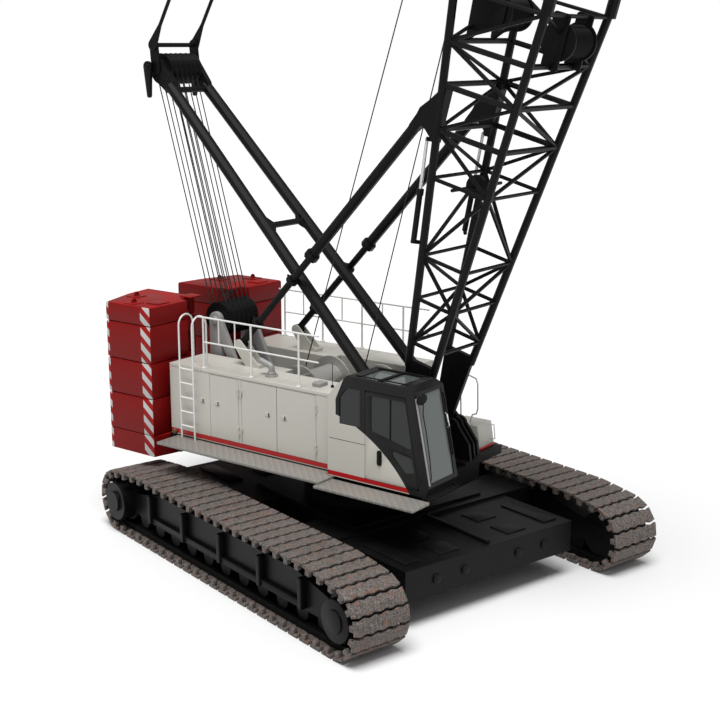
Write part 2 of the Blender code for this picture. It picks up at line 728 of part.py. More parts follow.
def hinge_barrel(x, low):
    y = CAB_OUTER - HINGE_REACH
    outline = [(x + HINGE_RADIUS * math.cos(math.pi * i / 6), y + HINGE_RADIUS * math.sin(math.pi * i / 6))
               for i in range(12)]
    return prism(outline, low, low + HINGE_HEIGHT, "z")


def hinge_strap(x, low, reach, sunk=-RUN_GAP):
    """A flat bar from the barrel along the outside of the cab, sunk into the wall where asked."""
    return box(tuple(sorted((x, x + reach))), (CAB_OUTER - HINGE_REACH, CAB_OUTER + sunk), (low, low + HINGE_HEIGHT))


def screen_band(margin, start, end):
    """The slanting windscreen between two shares of its height, as thick as asked."""
    low = Vector(CAB_OUTLINE[2])
    high = Vector(CAB_OUTLINE[3])
    along = (high - low).normalized()
    out = Vector((along.y, -along.x))
    length = (high - low).length
    return [tuple(low + along * length * share + out * depth)
            for share, depth in ((margin, start), (1 - margin, start), (1 - margin, end), (margin, end))]


def cab():
    wide = (CAB_OUTER, CAB_INNER)
    room = (CAB_OUTER + CAB_WALL, CAB_INNER - CAB_WALL)
    shell = prism(CAB_OUTLINE, *wide)
    cuts = [prism(inset_outline(CAB_OUTLINE, CAB_WALL), *room)]
    right = (CAB_OUTER - 0.1, CAB_OUTER + CAB_WALL + 0.02)
    left = (CAB_INNER - CAB_WALL - 0.02, CAB_INNER + 0.1)
    cuts.append(prism(DOOR_OUTLINE, *right))
    cuts.append(prism(QUARTER_GLASS, *right))
    cuts.append(prism(LEFT_GLASS, *left))
    across = (CAB_OUTER + SCREEN_MARGIN, CAB_INNER - SCREEN_MARGIN)
    cuts.append(prism(screen_band(SCREEN_TOP_SHARE, -0.1, 0.1), *across))
    cuts.append(box(ROOF_GLASS_X, across, (3.60, 3.90)))
    shells = [shell]
    middle = CAB_OUTER + CAB_WALL / 2
    door_y = (CAB_OUTER, CAB_OUTER + CAB_WALL)
    hinge = (DOOR_OUTLINE[1][0], CAB_OUTER - HINGE_REACH, DOOR_OUTLINE[0][1])
    leaf = [prism(inset_outline(DOOR_OUTLINE, RUN_GAP), *door_y)]
    for level, reach in CAB_HINGES:
        low = level - HINGE_HEIGHT - SEAT_GAP
        leaf.append(hinge_strap(hinge[0], level, -reach))
        leaf.append(hinge_barrel(hinge[0], level))
        leaf.append(box((hinge[0] - reach, hinge[0] - reach + HINGE_PAD),
                        (CAB_OUTER - HINGE_REACH, CAB_OUTER + STRAP_DEPTH), (level, level + HINGE_HEIGHT)))
        shells.append(hinge_strap(hinge[0], low, HINGE_STRAP, STRAP_DEPTH))
        shells.append(hinge_barrel(hinge[0], low))
    node("cab_door", "black", leaf, [prism(DOOR_GLASS, *right)], pivot=hinge)
    node("cab", "cream", shells, cuts)
    pane = (middle - GLASS_DEPTH / 2, middle + GLASS_DEPTH / 2)
    node("door_glass", "glass", [prism(inset_outline(DOOR_GLASS, SEAT_GAP), *pane)], pivot=hinge)
    node("quarter_glass", "glass", [prism(inset_outline(QUARTER_GLASS, SEAT_GAP), *pane)])
    inner = CAB_INNER - CAB_WALL / 2
    node("left_glass", "glass", [prism(inset_outline(LEFT_GLASS, SEAT_GAP), inner - GLASS_DEPTH / 2,
                                       inner + GLASS_DEPTH / 2)])
    glass = (CAB_OUTER + SCREEN_MARGIN + SEAT_GAP, CAB_INNER - SCREEN_MARGIN - SEAT_GAP)
    band = screen_band(SCREEN_TOP_SHARE, -CAB_WALL / 2 - GLASS_DEPTH / 2, -CAB_WALL / 2 + GLASS_DEPTH / 2)
    node("windscreen", "glass", [prism(inset_outline(band, SEAT_GAP), *glass)])
    roof = [(ROOF_GLASS_X[0] + SEAT_GAP, 3.755), (ROOF_GLASS_X[1] - SEAT_GAP, 3.741),
            (ROOF_GLASS_X[1] - SEAT_GAP, 3.753), (ROOF_GLASS_X[0] + SEAT_GAP, 3.767)]
    node("roof_glass", "glass", [prism(roof, *glass)])
    centre = (CAB_OUTER + CAB_INNER) / 2
    floor = CAB_LOW + CAB_WALL + SEAT_GAP
    seat = (centre - SEAT_HALF_WIDTH, centre + SEAT_HALF_WIDTH)
    node("operator_seat", "rubber", [box(SEAT_X, seat, (floor, floor + SEAT_HEIGHT)),
                                     box((SEAT_X[0], SEAT_X[0] + SEAT_BACK_DEPTH), seat,
                                         (floor, floor + SEAT_BACK_TOP))])


# Catwalks and rails


def catwalks():
    high = DECK_TOP
    low = DECK_TOP - WALK_DEPTH
    edge = DECK_HALF_WIDTH + SEAT_GAP
    right = [(WALK_REAR, -WALK_OUTER), (WALK_FRONT, -WALK_OUTER), (WALK_FRONT, CAB_OUTER + 0.05),
             (DECK_FRONT - SEAT_GAP, CAB_OUTER + 0.05), (DECK_FRONT - SEAT_GAP, -edge), (WALK_REAR, -edge)]
    node("catwalk_right", "plate", [prism(right, low, high, "z")])
    left = [(WALK_REAR, WALK_OUTER), (WALK_REAR, edge), (DECK_FRONT, edge), (DECK_FRONT, WALK_OUTER)]
    node("catwalk_left", "plate", [prism(left, low, high, "z")])


def rails(side, name, first, last, posts):
    y = side * (HOUSE_OUTER - RAIL_INSET)
    foot = HOUSE_TOP + SEAT_GAP
    pieces = [rod((first, y, RAIL_HIGH), (last, y, RAIL_HIGH), RAIL_RADIUS)]
    pieces.append(rod((first, y, RAIL_MID), (last, y, RAIL_MID), RAIL_RADIUS, LACE_SIDES))
    for x in posts:
        pieces.append(rod((x, y, foot), (x, y, RAIL_HIGH), RAIL_RADIUS))
        pieces.append(rod((x, y, foot), (x, y, foot + 0.02), 2 * RAIL_RADIUS))
    return pieces


def handrails():
    right = rails(-1, "right", -3.05, 0.07, RAIL_POSTS)
    y = -HOUSE_OUTER - LADDER_REACH
    for x in LADDER_X:
        right.append(rod((x, y, DECK_TOP + SEAT_GAP), (x, y, RAIL_HIGH), RAIL_RADIUS))
        right.append(rod((x, y, RAIL_HIGH - 0.02), (x, -HOUSE_OUTER + RAIL_INSET, RAIL_HIGH), RAIL_RADIUS))
    for i in range(LADDER_RUNGS):
        z = DECK_TOP + 0.25 + 0.28 * i
        right.append(rod((LADDER_X[0], y, z), (LADDER_X[1], y, z), RAIL_RADIUS, LACE_SIDES))
    right.append(rod((LADDER_X[0], y, RAIL_HIGH - 0.02), (LADDER_X[0], -HOUSE_OUTER + RAIL_INSET, RAIL_HIGH), RAIL_RADIUS))
    right.append(rod((LADDER_X[0], -HOUSE_OUTER + RAIL_INSET, RAIL_HIGH), (-3.0, -HOUSE_OUTER + RAIL_INSET, RAIL_HIGH), RAIL_RADIUS))
    node("handrail_right", "plate", right)
    node("handrail_left", "plate", rails(1, "left", -3.45, 0.30, FAR_POSTS))


# Gantry and winches


def gantry():
    x, z = GANTRY_HEAD
    pieces = []
    for side in (1, -1):
        y = sided(side, GANTRY_HALF_WIDTH + SEAT_GAP, GANTRY_HALF_WIDTH + GANTRY_BEAM)
        rear = [(x - 0.12, DECK_TOP + SEAT_GAP), (x + 0.12, DECK_TOP + SEAT_GAP), (x + 0.13, z + 0.14), (x - 0.13, z + 0.14)]
        front = [(GANTRY_FRONT - 0.10, DECK_TOP + SEAT_GAP), (GANTRY_FRONT + 0.12, DECK_TOP + SEAT_GAP),
                 (x + 0.16, z + 0.05), (x - 0.05, z - 0.05)]
        pieces.append(prism(rear, *y))
        pieces.append(prism(front, *y))
    low = DECK_TOP + 0.35
    pieces.append(box((x - 0.08, x + 0.08), (-GANTRY_HALF_WIDTH - 0.05, GANTRY_HALF_WIDTH + 0.05), (low, low + 0.16)))
    node("gantry", "black", pieces)
    wheels = sheave_nest(GANTRY_HEAD, GANTRY_SHEAVE_RADIUS, GANTRY_HALF_WIDTH, 6)
    node("gantry_sheaves", "black", [wheels], pivot=(x, 0.0, z))


def sheave_nest(centre, radius, half, count, sides=20):
    """A row of grooved rope wheels on one axle, turned as one piece."""
    rim = 2.0 * half / count
    steps = []
    groove = radius - GROOVE_DEPTH
    for i in range(count):
        start = -half + i * rim
        steps += [(start, radius), (start + 0.25 * rim, groove), (start + 0.75 * rim, groove)]
    steps.append((half, radius))
    return turned(centre, steps, sides)


def winches():
    for row, x, z in DRUMS:
        steps = ((-DRUM_HALF, DRUM_FLANGE), (-DRUM_HALF + FLANGE_DEPTH, DRUM_FLANGE),
                 (-DRUM_HALF + FLANGE_DEPTH, DRUM_CORE), (DRUM_HALF - FLANGE_DEPTH, DRUM_CORE),
                 (DRUM_HALF - FLANGE_DEPTH, DRUM_FLANGE), (DRUM_HALF, DRUM_FLANGE))
        node("winch_drum_" + row, "steel", [turned((x, z), steps)], pivot=(x, 0.0, z))


# Boom


def on_boom(u, y, v):
    """A point u along the boom and v forward of its middle."""
    x = BOOM_FOOT[0] + u * math.cos(BOOM_ANGLE) + v * math.sin(BOOM_ANGLE)
    z = BOOM_FOOT[1] + u * math.sin(BOOM_ANGLE) - v * math.cos(BOOM_ANGLE)
    return (x, y, z)


def boom_place(point):
    """How far along the boom and forward of its middle a point of the side view lies."""
    dx = point[0] - BOOM_FOOT[0]
    dz = point[1] - BOOM_FOOT[1]
    return (dx * math.cos(BOOM_ANGLE) + dz * math.sin(BOOM_ANGLE),
            dx * math.sin(BOOM_ANGLE) - dz * math.cos(BOOM_ANGLE))


def in_plane(u, v):
    x, y, z = on_boom(u, 0.0, v)
    return (x, z)


def blend(a, b, share):
    return a + (b - a) * share


def base_section(u):
    share = (u - PLATE_LENGTH) / (BASE_LENGTH - PLATE_LENGTH)
    narrow = (BOOM_EYE_INNER + BOOM_EYE_OUTER) / 2 + 0.02
    return blend(narrow, BOOM_HALF_WIDTH, share), blend(PLATE_HALF_DEPTH - 0.03, BOOM_HALF_DEPTH, share)


def full_section(u):
    return BOOM_HALF_WIDTH, BOOM_HALF_DEPTH


def top_section(u):
    start = BASE_LENGTH + INSERT_LENGTH + TOP_PARALLEL
    end = BASE_LENGTH + INSERT_LENGTH + TOP_LENGTH
    share = max(0.0, (u - start) / (end - start))
    return blend(BOOM_HALF_WIDTH, HEAD_HALF_WIDTH, share), blend(BOOM_HALF_DEPTH, HEAD_HALF_DEPTH, share)


def corners(section, u):
    y, v = section(u)
    return [on_boom(u, side * y, face * v) for side, face in ((-1, -1), (-1, 1), (1, 1), (1, -1))]


def lattice(section, stations, framed):
    """Chords are laid elsewhere. This lays rungs at the framed stations and lacing between."""
    pieces = []
    for u in framed:
        ring = corners(section, u)
        for k in range(4):
            radius = FRAME_RADIUS if u in HEAVY_STATIONS else LACE_RADIUS
            pieces.append(rod(ring[k], ring[(k + 1) % 4], radius, LACE_SIDES))
    for i in range(len(stations) - 1):
        low = corners(section, stations[i])
        high = corners(section, stations[i + 1])
        for k in range(4):
            near = k if (i + k) % 2 == 0 else (k + 1) % 4
            far = (k + 1) % 4 if (i + k) % 2 == 0 else k
            pieces.append(rod(low[near], high[far], LACE_RADIUS, LACE_SIDES))
    return pieces


def chords(section, start, end):
    low = corners(section, start)
    high = corners(section, end)
    return [rod(low[k], high[k], CHORD_RADIUS) for k in range(4)]


def lugs(section, start, end):
    """Thicker chord ends, square to the boom, where two sections are pinned together."""
    y, v = section(end)
    pieces = []
    for side, face in ((-1, -1), (-1, 1), (1, 1), (1, -1)):
        pieces.append(rod(on_boom(start, side * y, face * v), on_boom(end, side * y, face * v), LUG_RADIUS))
    return pieces


def stop_lug(side):
    """The forked bracket on a rear chord that takes the head of one backstop."""
    u, v = boom_place(STOP_HEAD)
    width, depth = base_section(u)
    solids = []
    for inner, outer in ((STOP_SIDE - STOP_EYE_HALF - SEAT_GAP - BRACKET_PLATE, STOP_SIDE - STOP_EYE_HALF - SEAT_GAP),
                         (STOP_SIDE + STOP_EYE_HALF + SEAT_GAP, STOP_SIDE + STOP_EYE_HALF + SEAT_GAP + BRACKET_PLATE)):
        plate = [in_plane(u - 0.34, -depth), in_plane(u + 0.60, -depth), in_plane(u + 0.30, v + 0.10),
                 in_plane(u + 0.12, v - 0.06), in_plane(u - 0.02, v - STOP_EYE_RADIUS), in_plane(u - 0.12, v - 0.02),
                 in_plane(u - 0.20, v + 0.14)]
        solids.append(prism(plate, *sided(side, inner, outer)))
    back = [in_plane(u - 0.36, -depth + 0.05), in_plane(u + 0.62, -depth + 0.05),
            in_plane(u + 0.60, -depth - 0.03), in_plane(u - 0.34, -depth - 0.03)]
    reach = STOP_EYE_HALF + SEAT_GAP + BRACKET_PLATE
    solids.append(prism(back, *sided(side, STOP_SIDE - reach, STOP_SIDE + reach)))
    return solids


def boom():
    foot = (BOOM_FOOT[0], 0.0, BOOM_FOOT[1])
    pieces = []
    for side in (1, -1):
        outline = []
        for i in range(9):
            turn = math.pi / 2 + math.pi * i / 8
            outline.append(in_plane(EYE_RADIUS * math.cos(turn), -EYE_RADIUS * math.sin(turn)))
        outline += [in_plane(PLATE_LENGTH, PLATE_HALF_DEPTH), in_plane(PLATE_LENGTH, -PLATE_HALF_DEPTH)]
        pieces.append(prism(outline, *sided(side, BOOM_EYE_INNER, BOOM_EYE_OUTER)))
    pieces += chords(base_section, PLATE_LENGTH - 0.15, BASE_LENGTH - LUG_LENGTH / 2)
    pieces += lugs(base_section, BASE_LENGTH - LUG_LENGTH, BASE_LENGTH)
    pieces += lattice(base_section, BASE_STATIONS, BASE_STATIONS)
    for side in (1, -1):
        pieces += stop_lug(side)
    node("boom_base", "black", pieces, pivot=foot)
    start = BASE_LENGTH + SEAT_GAP
    end = BASE_LENGTH + INSERT_LENGTH
    inset = LUG_LENGTH
    stations = [start + inset + (end - start - 2 * inset) * i / INSERT_BAYS for i in range(INSERT_BAYS + 1)]
    pieces = chords(full_section, start + inset / 2, end - inset / 2)
    pieces += lugs(full_section, start, start + inset) + lugs(full_section, end - inset, end)
    pieces += lattice(full_section, stations, (stations[0], stations[-1]))
    node("boom_insert", "black", pieces, pivot=foot)
    start = end + SEAT_GAP
    knee = end + TOP_PARALLEL
    tip = end + TOP_LENGTH
    stations = [start + inset + (knee - start - inset) * i / TOP_BAYS for i in range(TOP_BAYS + 1)]
    taper = [knee, knee + 1.2, knee + 2.2, tip - 0.45]
    pieces = chords(top_section, start + inset / 2, knee) + chords(top_section, knee, tip - 0.3)
    for side, face in ((-1, -1), (-1, 1), (1, 1), (1, -1)):
        y = side * BOOM_HALF_WIDTH
        v = face * BOOM_HALF_DEPTH
        pieces.append(rod(on_boom(knee - KNEE_REACH, y, v), on_boom(knee + KNEE_REACH, y, v), KNEE_RADIUS))
    pieces += lugs(full_section, start, start + inset)
    pieces += lattice(top_section, stations, (stations[0], stations[-1]))
    pieces += lattice(top_section, taper, (taper[2], taper[3]))
    for side in (1, -1):
        outline = [in_plane(tip + u, v) for u, v in HEAD_OUTLINE]
        pieces.append(prism(outline, *sided(side, HEAD_HALF_WIDTH + SEAT_GAP, HEAD_HALF_WIDTH + HEAD_PLATE)))
    node("boom_top", "black", pieces, pivot=foot)
    axle = in_plane(tip + TIP_AXLE[0], TIP_AXLE[1])
    node("tip_sheaves", "black", [sheave_nest(axle, TIP_SHEAVE_RADIUS, HEAD_HALF_WIDTH, 6)],
         pivot=(axle[0], 0.0, axle[1]))


# Mast and pendants


def mast_tube(side):
    foot = (MAST_FOOT[0], side * (MAST_EYE_INNER + MAST_EYE_OUTER) / 2, MAST_FOOT[1])
    head = (MAST_HEAD[0], side * MAST_HEAD_HALF, MAST_HEAD[1])
    return Vector(foot), Vector(head)


def mast():
    pieces = []
    for side in (1, -1):
        foot, head = mast_tube(side)
        start = foot.lerp(head, MAST_TUBE_START)
        end = foot.lerp(head, MAST_TUBE_END)
        near = (start.x, start.z)
        pieces.append(link(MAST_FOOT, EYE_RADIUS, near, 0.12, *sided(side, MAST_EYE_INNER, MAST_EYE_OUTER)))
        pieces.append(rod(start, end, MAST_RADIUS))
        top = (end.x, end.z)
        pieces.append(link(MAST_HEAD, 0.20, top, 0.14, *sided(side, MAST_HEAD_HALF - MAST_HEAD_CHEEK,
                                                                                    MAST_HEAD_HALF + MAST_HEAD_CHEEK)))
    foot, head = mast_tube(1)
    at = foot.lerp(head, MAST_BRACE)
    pieces.append(rod((at.x, -at.y, at.z), (at.x, at.y, at.z), 0.06))
    for side in (1, -1):
        foot, head = mast_tube(side)
        a = foot.lerp(head, MAST_BRACE - 0.035)
        b = foot.lerp(head, MAST_BRACE + 0.035)
        inner = Vector((at.x, side * (at.y - 0.24), at.z))
        pieces.append(rod(a, inner, 0.045, LACE_SIDES))
        pieces.append(rod(b, inner, 0.045, LACE_SIDES))
    a = foot.lerp(head, MAST_TUBE_END - 0.012)
    pieces.append(rod((a.x, -a.y, a.z), (a.x, a.y, a.z), 0.06))
    inner = MAST_HEAD_HALF + MAST_HEAD_CHEEK - SEAT_GAP
    outer = inner + SEAT_GAP + LINK_PLATE
    for side in (1, -1):
        pieces.append(link(MAST_HEAD, LINK_RADIUS, SPREADER, LINK_RADIUS, *sided(side, inner, outer)))
    pieces.append(rod((SPREADER[0], -outer + CUT_PAST, SPREADER[1]), (SPREADER[0], outer - CUT_PAST, SPREADER[1]),
                      SPREADER_RADIUS))
    pivot = (MAST_FOOT[0], 0.0, MAST_FOOT[1])
    node("mast", "black", pieces, pivot=pivot)
    half = MAST_HEAD_HALF - MAST_HEAD_CHEEK - SEAT_GAP
    node("mast_sheaves", "black", [sheave_nest(MAST_HEAD, MAST_SHEAVE_RADIUS, half, 6)],
         pivot=(MAST_HEAD[0], 0.0, MAST_HEAD[1]))


def pendants():
    """The two bars of links from the spreader at the mast head to the ears of the boom head."""
    tip = BASE_LENGTH + INSERT_LENGTH + TOP_LENGTH
    anchor = in_plane(tip + PENDANT_EAR[0], PENDANT_EAR[1])
    along = Vector((anchor[0] - SPREADER[0], 0.0, anchor[1] - SPREADER[1])).normalized()
    inner = MAST_HEAD_HALF + MAST_HEAD_CHEEK + LINK_PLATE + SEAT_GAP
    for side, name in ((1, "left"), (-1, "right")):
        plate = sided(side, inner, inner + LINK_PLATE)
        y = (plate[0] + plate[1]) / 2
        start = Vector((SPREADER[0], y, SPREADER[1])) + along * PENDANT_LINK
        end = Vector((anchor[0], y, anchor[1]))
        back = end - along * PENDANT_SOCKET
        pieces = [link(SPREADER, LINK_RADIUS, (start.x, start.z), PENDANT_RADIUS, *plate)]
        pieces.append(rod(start, end, PENDANT_RADIUS, LACE_SIDES))
        pieces.append(link((end.x, end.z), PENDANT_EYE, (back.x, back.z), PENDANT_RADIUS, *plate))
        node("pendant_" + name, "black", pieces, pivot=(SPREADER[0], y, SPREADER[1]))


# Backstops


def backstops():
    head = Vector(STOP_HEAD)
    foot = Vector(STOP_FOOT)
    along = (foot - head).normalized()

    def station(distance, y):
        at = head + along * distance
        return (at.x, y, at.y)

    for side, name in ((1, "left"), (-1, "right")):
        y = side * STOP_SIDE
        tube = [rod(station(STOP_NECK, y), station(STOP_TUBE_LENGTH, y), STOP_TUBE_RADIUS)]
        neck = station(STOP_NECK + 0.03, y)
        tube.append(link(STOP_HEAD, STOP_EYE_RADIUS, (neck[0], neck[2]), STOP_TUBE_RADIUS - 0.01,
                         y - STOP_EYE_HALF, y + STOP_EYE_HALF))
        tube.append(rod(station(STOP_TUBE_LENGTH - 0.12, y), station(STOP_TUBE_LENGTH, y), STOP_TUBE_RADIUS + 0.04))
        bore = [rod(station(STOP_BORE_START, y), station(STOP_TUBE_LENGTH + 0.1, y), STOP_ROD_RADIUS + SEAT_GAP)]
        node("backstop_tube_" + name, "black", tube, bore, pivot=station(0.0, y))
        pieces = [rod(station(STOP_ROD_START, y), (foot.x, y, foot.y), STOP_ROD_RADIUS)]
        pieces.append(disc(STOP_FOOT, STOP_EYE_RADIUS, y - STOP_EYE_HALF, y + STOP_EYE_HALF, 16))
        node("backstop_rod_" + name, "black", pieces, pivot=(foot.x, y, foot.y))


def hook():
    tip = BASE_LENGTH + INSERT_LENGTH + TOP_LENGTH
    axle = in_plane(tip + TIP_AXLE[0], TIP_AXLE[1])
    x = axle[0] + TIP_SHEAVE_RADIUS - GROOVE_DEPTH + SEAT_GAP + ROPE_RADIUS * math.cos(math.pi / LACE_SIDES)
    z = axle[1] - HOOK_DROP
    pieces = [box((x - 0.30, x + 0.30), (-0.22, 0.22), (z - 0.45, z + 0.30))]
    pitch = HEAD_HALF_WIDTH / 3
    for y in (-0.5 * pitch, 0.5 * pitch):
        pieces.append(rod((x, y, z), (x, y, axle[1]), ROPE_RADIUS, LACE_SIDES))
    pieces.append(box((x - 0.10, x + 0.10), (-0.08, 0.08), (z - 0.62, z - 0.4)))
    pivot = (axle[0], 0.0, axle[1])
    node("hook_block", "red", pieces, pivot=pivot)


def stand_on_origin():
    """Move every piece so that the middle of the whole crane's footprint is the origin."""
    pieces = [thing for thing in bpy.data.objects if thing.type == "MESH"]
    points = [thing.location + corner.co for thing in pieces for corner in thing.data.vertices]
    shift = Vector([-(min(p[i] for p in points) + max(p[i] for p in points)) / 2 for i in range(2)] + [0.0])
    for thing in pieces:
        thing.location += shift


clear_scene()
lower_works()
upper_frame()
house(-1, "right")
house(1, "left")
counterweight()
cab()
catwalks()
handrails()
gantry()
winches()
boom()
mast()
pendants()
backstops()
hook()
stand_on_origin()
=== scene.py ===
"""Looks of the lattice-boom crawler crane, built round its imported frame.

The upper works lie along the world axes, +X forward and +Y left, and the tracks are turned
under them. Sizes are in metres from the slewing axis at the floor, and Site.fit sets each
modelled piece in the frame's own place.
"""
import json
import logging
import math
from dataclasses import dataclass
from enum import Enum

import bpy
from mathutils import Matrix, Vector

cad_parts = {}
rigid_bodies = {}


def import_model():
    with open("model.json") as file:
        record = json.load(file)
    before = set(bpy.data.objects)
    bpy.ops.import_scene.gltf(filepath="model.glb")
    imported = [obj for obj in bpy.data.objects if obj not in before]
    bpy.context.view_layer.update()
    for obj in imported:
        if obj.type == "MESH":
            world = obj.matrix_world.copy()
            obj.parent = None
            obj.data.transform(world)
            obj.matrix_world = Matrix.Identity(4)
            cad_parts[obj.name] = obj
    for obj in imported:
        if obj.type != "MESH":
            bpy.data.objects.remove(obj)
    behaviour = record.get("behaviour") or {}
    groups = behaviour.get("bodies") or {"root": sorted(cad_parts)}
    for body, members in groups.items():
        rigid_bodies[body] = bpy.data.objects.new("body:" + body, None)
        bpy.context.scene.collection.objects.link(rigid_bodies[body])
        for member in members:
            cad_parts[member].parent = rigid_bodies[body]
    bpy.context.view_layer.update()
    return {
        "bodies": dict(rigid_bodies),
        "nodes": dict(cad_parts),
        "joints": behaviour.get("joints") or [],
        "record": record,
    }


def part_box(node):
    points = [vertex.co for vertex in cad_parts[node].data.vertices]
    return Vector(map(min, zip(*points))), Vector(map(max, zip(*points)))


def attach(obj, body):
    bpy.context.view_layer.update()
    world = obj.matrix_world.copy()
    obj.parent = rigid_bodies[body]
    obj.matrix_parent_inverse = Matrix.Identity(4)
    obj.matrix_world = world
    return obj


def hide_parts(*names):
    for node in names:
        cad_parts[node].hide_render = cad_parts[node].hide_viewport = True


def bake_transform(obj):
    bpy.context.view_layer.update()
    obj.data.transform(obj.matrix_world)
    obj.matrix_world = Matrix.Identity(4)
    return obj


LOG = logging.getLogger("crawler_crane")
# The tracks' turn from the upper works.
TRACK_TURN = math.radians(-15.22)
# The distance under which two corners of a mesh become one.
WELD = 0.00005
Socket = bpy.types.NodeSocket
Thing = bpy.types.Object
Colour = tuple[float, float, float]
Point = tuple[float, float]
Place = tuple[float, float, float]


class Side(Enum):
    """The two sides of the machine, with the sign of their Y."""

    LEFT = 1.0
    RIGHT = -1.0

    @property
    def word(self) -> str:
        """Return the side's name in small letters."""
        return self.name.lower()


def span(sign: float, near: float, far: float) -> Point:
    """Return the lower and the higher place of two distances on one side of zero."""
    return tuple(sorted((sign * near, sign * far)))


class Bench:
    """Adds and links nodes in one shader tree."""

    def __init__(self, tree: bpy.types.NodeTree) -> None:
        """Work on one tree.

        Args:
            tree: The node tree of a material or of a group.
        """
        self.tree = tree

    def add(self, kind: str, **settings: object) -> bpy.types.Node:
        """Add one node.

        Args:
            kind: The node's type, without the word ShaderNode.
            settings: Attributes to set on it.

        Returns:
            The new node.
        """
        made = self.tree.nodes.new("ShaderNode" + kind)
        for name, value in settings.items():
            setattr(made, name, value)
        return made

    def wire(self, source: Socket, target: Socket) -> None:
        """Link an output to an input."""
        self.tree.links.new(source, target)

    def math(self, operation: str, first: object, second: object = 0.0) -> Socket:
        """Add a Math node fed by sockets or numbers.

        Args:
            operation: The Math node's operation.
            first: Its first input, as a socket or a number.
            second: Its second input, as a socket or a number.

        Returns:
            The node's output.
        """
        made = self.add("Math", operation=operation)
        for slot, value in zip(made.inputs, (first, second)):
            if isinstance(value, Socket):
                self.wire(value, slot)
            else:
                slot.default_value = value
        return made.outputs[0]

    def ramp(self, source: Socket, low: float, high: float) -> Socket:
        """Stretch a value so that low gives 0 and high gives 1, and clamp it.

        Args:
            source: The value to stretch.
            low: The value that gives 0.
            high: The value that gives 1.

        Returns:
            The stretched value.
        """
        made = self.add("MapRange")
        self.wire(source, made.inputs["Value"])
        made.inputs["From Min"].default_value = low
        made.inputs["From Max"].default_value = high
        return made.outputs["Result"]

    def blend(self, factor: object, first: object, second: object) -> Socket:
        """Mix two colours.

        Args:
            factor: 0 gives the first colour and 1 the second, as a socket or a number.
            first: A socket or a colour.
            second: A socket or a colour.

        Returns:
            The mixed colour.
        """
        made = self.add("Mix", data_type="RGBA")
        slots = (made.inputs[0], made.inputs[6], made.inputs[7])
        for slot, value in zip(slots, (factor, first, second)):
            if isinstance(value, Socket):
                self.wire(value, slot)
            elif isinstance(value, tuple):
                slot.default_value = (*value, 1.0)
            else:
                slot.default_value = value
        return made.outputs[2]

    def inside(self, value: Socket, low: float, high: float) -> Socket:
        """Return 1 where a value lies between low and high, and else 0."""
        above, below = self.math("GREATER_THAN", value, low), self.math("LESS_THAN", value, high)
        return self.math("MULTIPLY", above, below)

    def affine(self, value: Socket, factor: float, shift: float) -> Socket:
        """Return a value multiplied by a factor and then moved by a shift."""
        return self.math("ADD", self.math("MULTIPLY", value, factor), shift)

    def split(self, vector: Socket) -> tuple[Socket, ...]:
        """Separate a vector into its three values."""
        made = self.add("SeparateXYZ")
        self.wire(vector, made.inputs[0])
        return tuple(made.outputs)

    def noise(self, vector: Socket, scale: float, detail: float = 3.0) -> Socket:
        """Add a noise texture.

        Args:
            vector: Its coordinates.
            scale: Its scale, in cells for each metre.
            detail: Its octaves.

        Returns:
            The noise, from 0 to 1.
        """
        made = self.add("TexNoise")
        self.wire(vector, made.inputs["Vector"])
        made.inputs["Scale"].default_value = scale
        made.inputs["Detail"].default_value = detail
        return made.outputs["Fac"]

    def stretched(self, vector: Socket, scale: Place, turn: Place = (0.0, 0.0, 0.0)) -> Socket:
        """Scale and turn coordinates.

        Args:
            vector: The coordinates.
            scale: The scale along each axis.
            turn: The turn about each axis, in radians.

        Returns:
            The changed coordinates.
        """
        made = self.add("Mapping")
        self.wire(vector, made.inputs["Vector"])
        made.inputs["Scale"].default_value = scale
        made.inputs["Rotation"].default_value = turn
        return made.outputs["Vector"]


def new_group(name: str, inputs: dict[str, str], outputs: dict[str, str],
              ) -> tuple[Bench, bpy.types.NodeOutputs, bpy.types.NodeInputs]:
    """Start a shared node group.

    Args:
        name: The group's name.
        inputs: The kind of each input, by its name.
        outputs: The kind of each output, by its name.

    Returns:
        A bench that works on the group, its input values and its output slots.
    """
    group = bpy.data.node_groups.new(name, "ShaderNodeTree")
    for way, sockets in (("INPUT", inputs), ("OUTPUT", outputs)):
        for label, kind in sockets.items():
            group.interface.new_socket(label, in_out=way, socket_type="NodeSocket" + kind)
    given = group.nodes.new("NodeGroupInput")
    result = group.nodes.new("NodeGroupOutput")
    return Bench(group), given.outputs, result.inputs


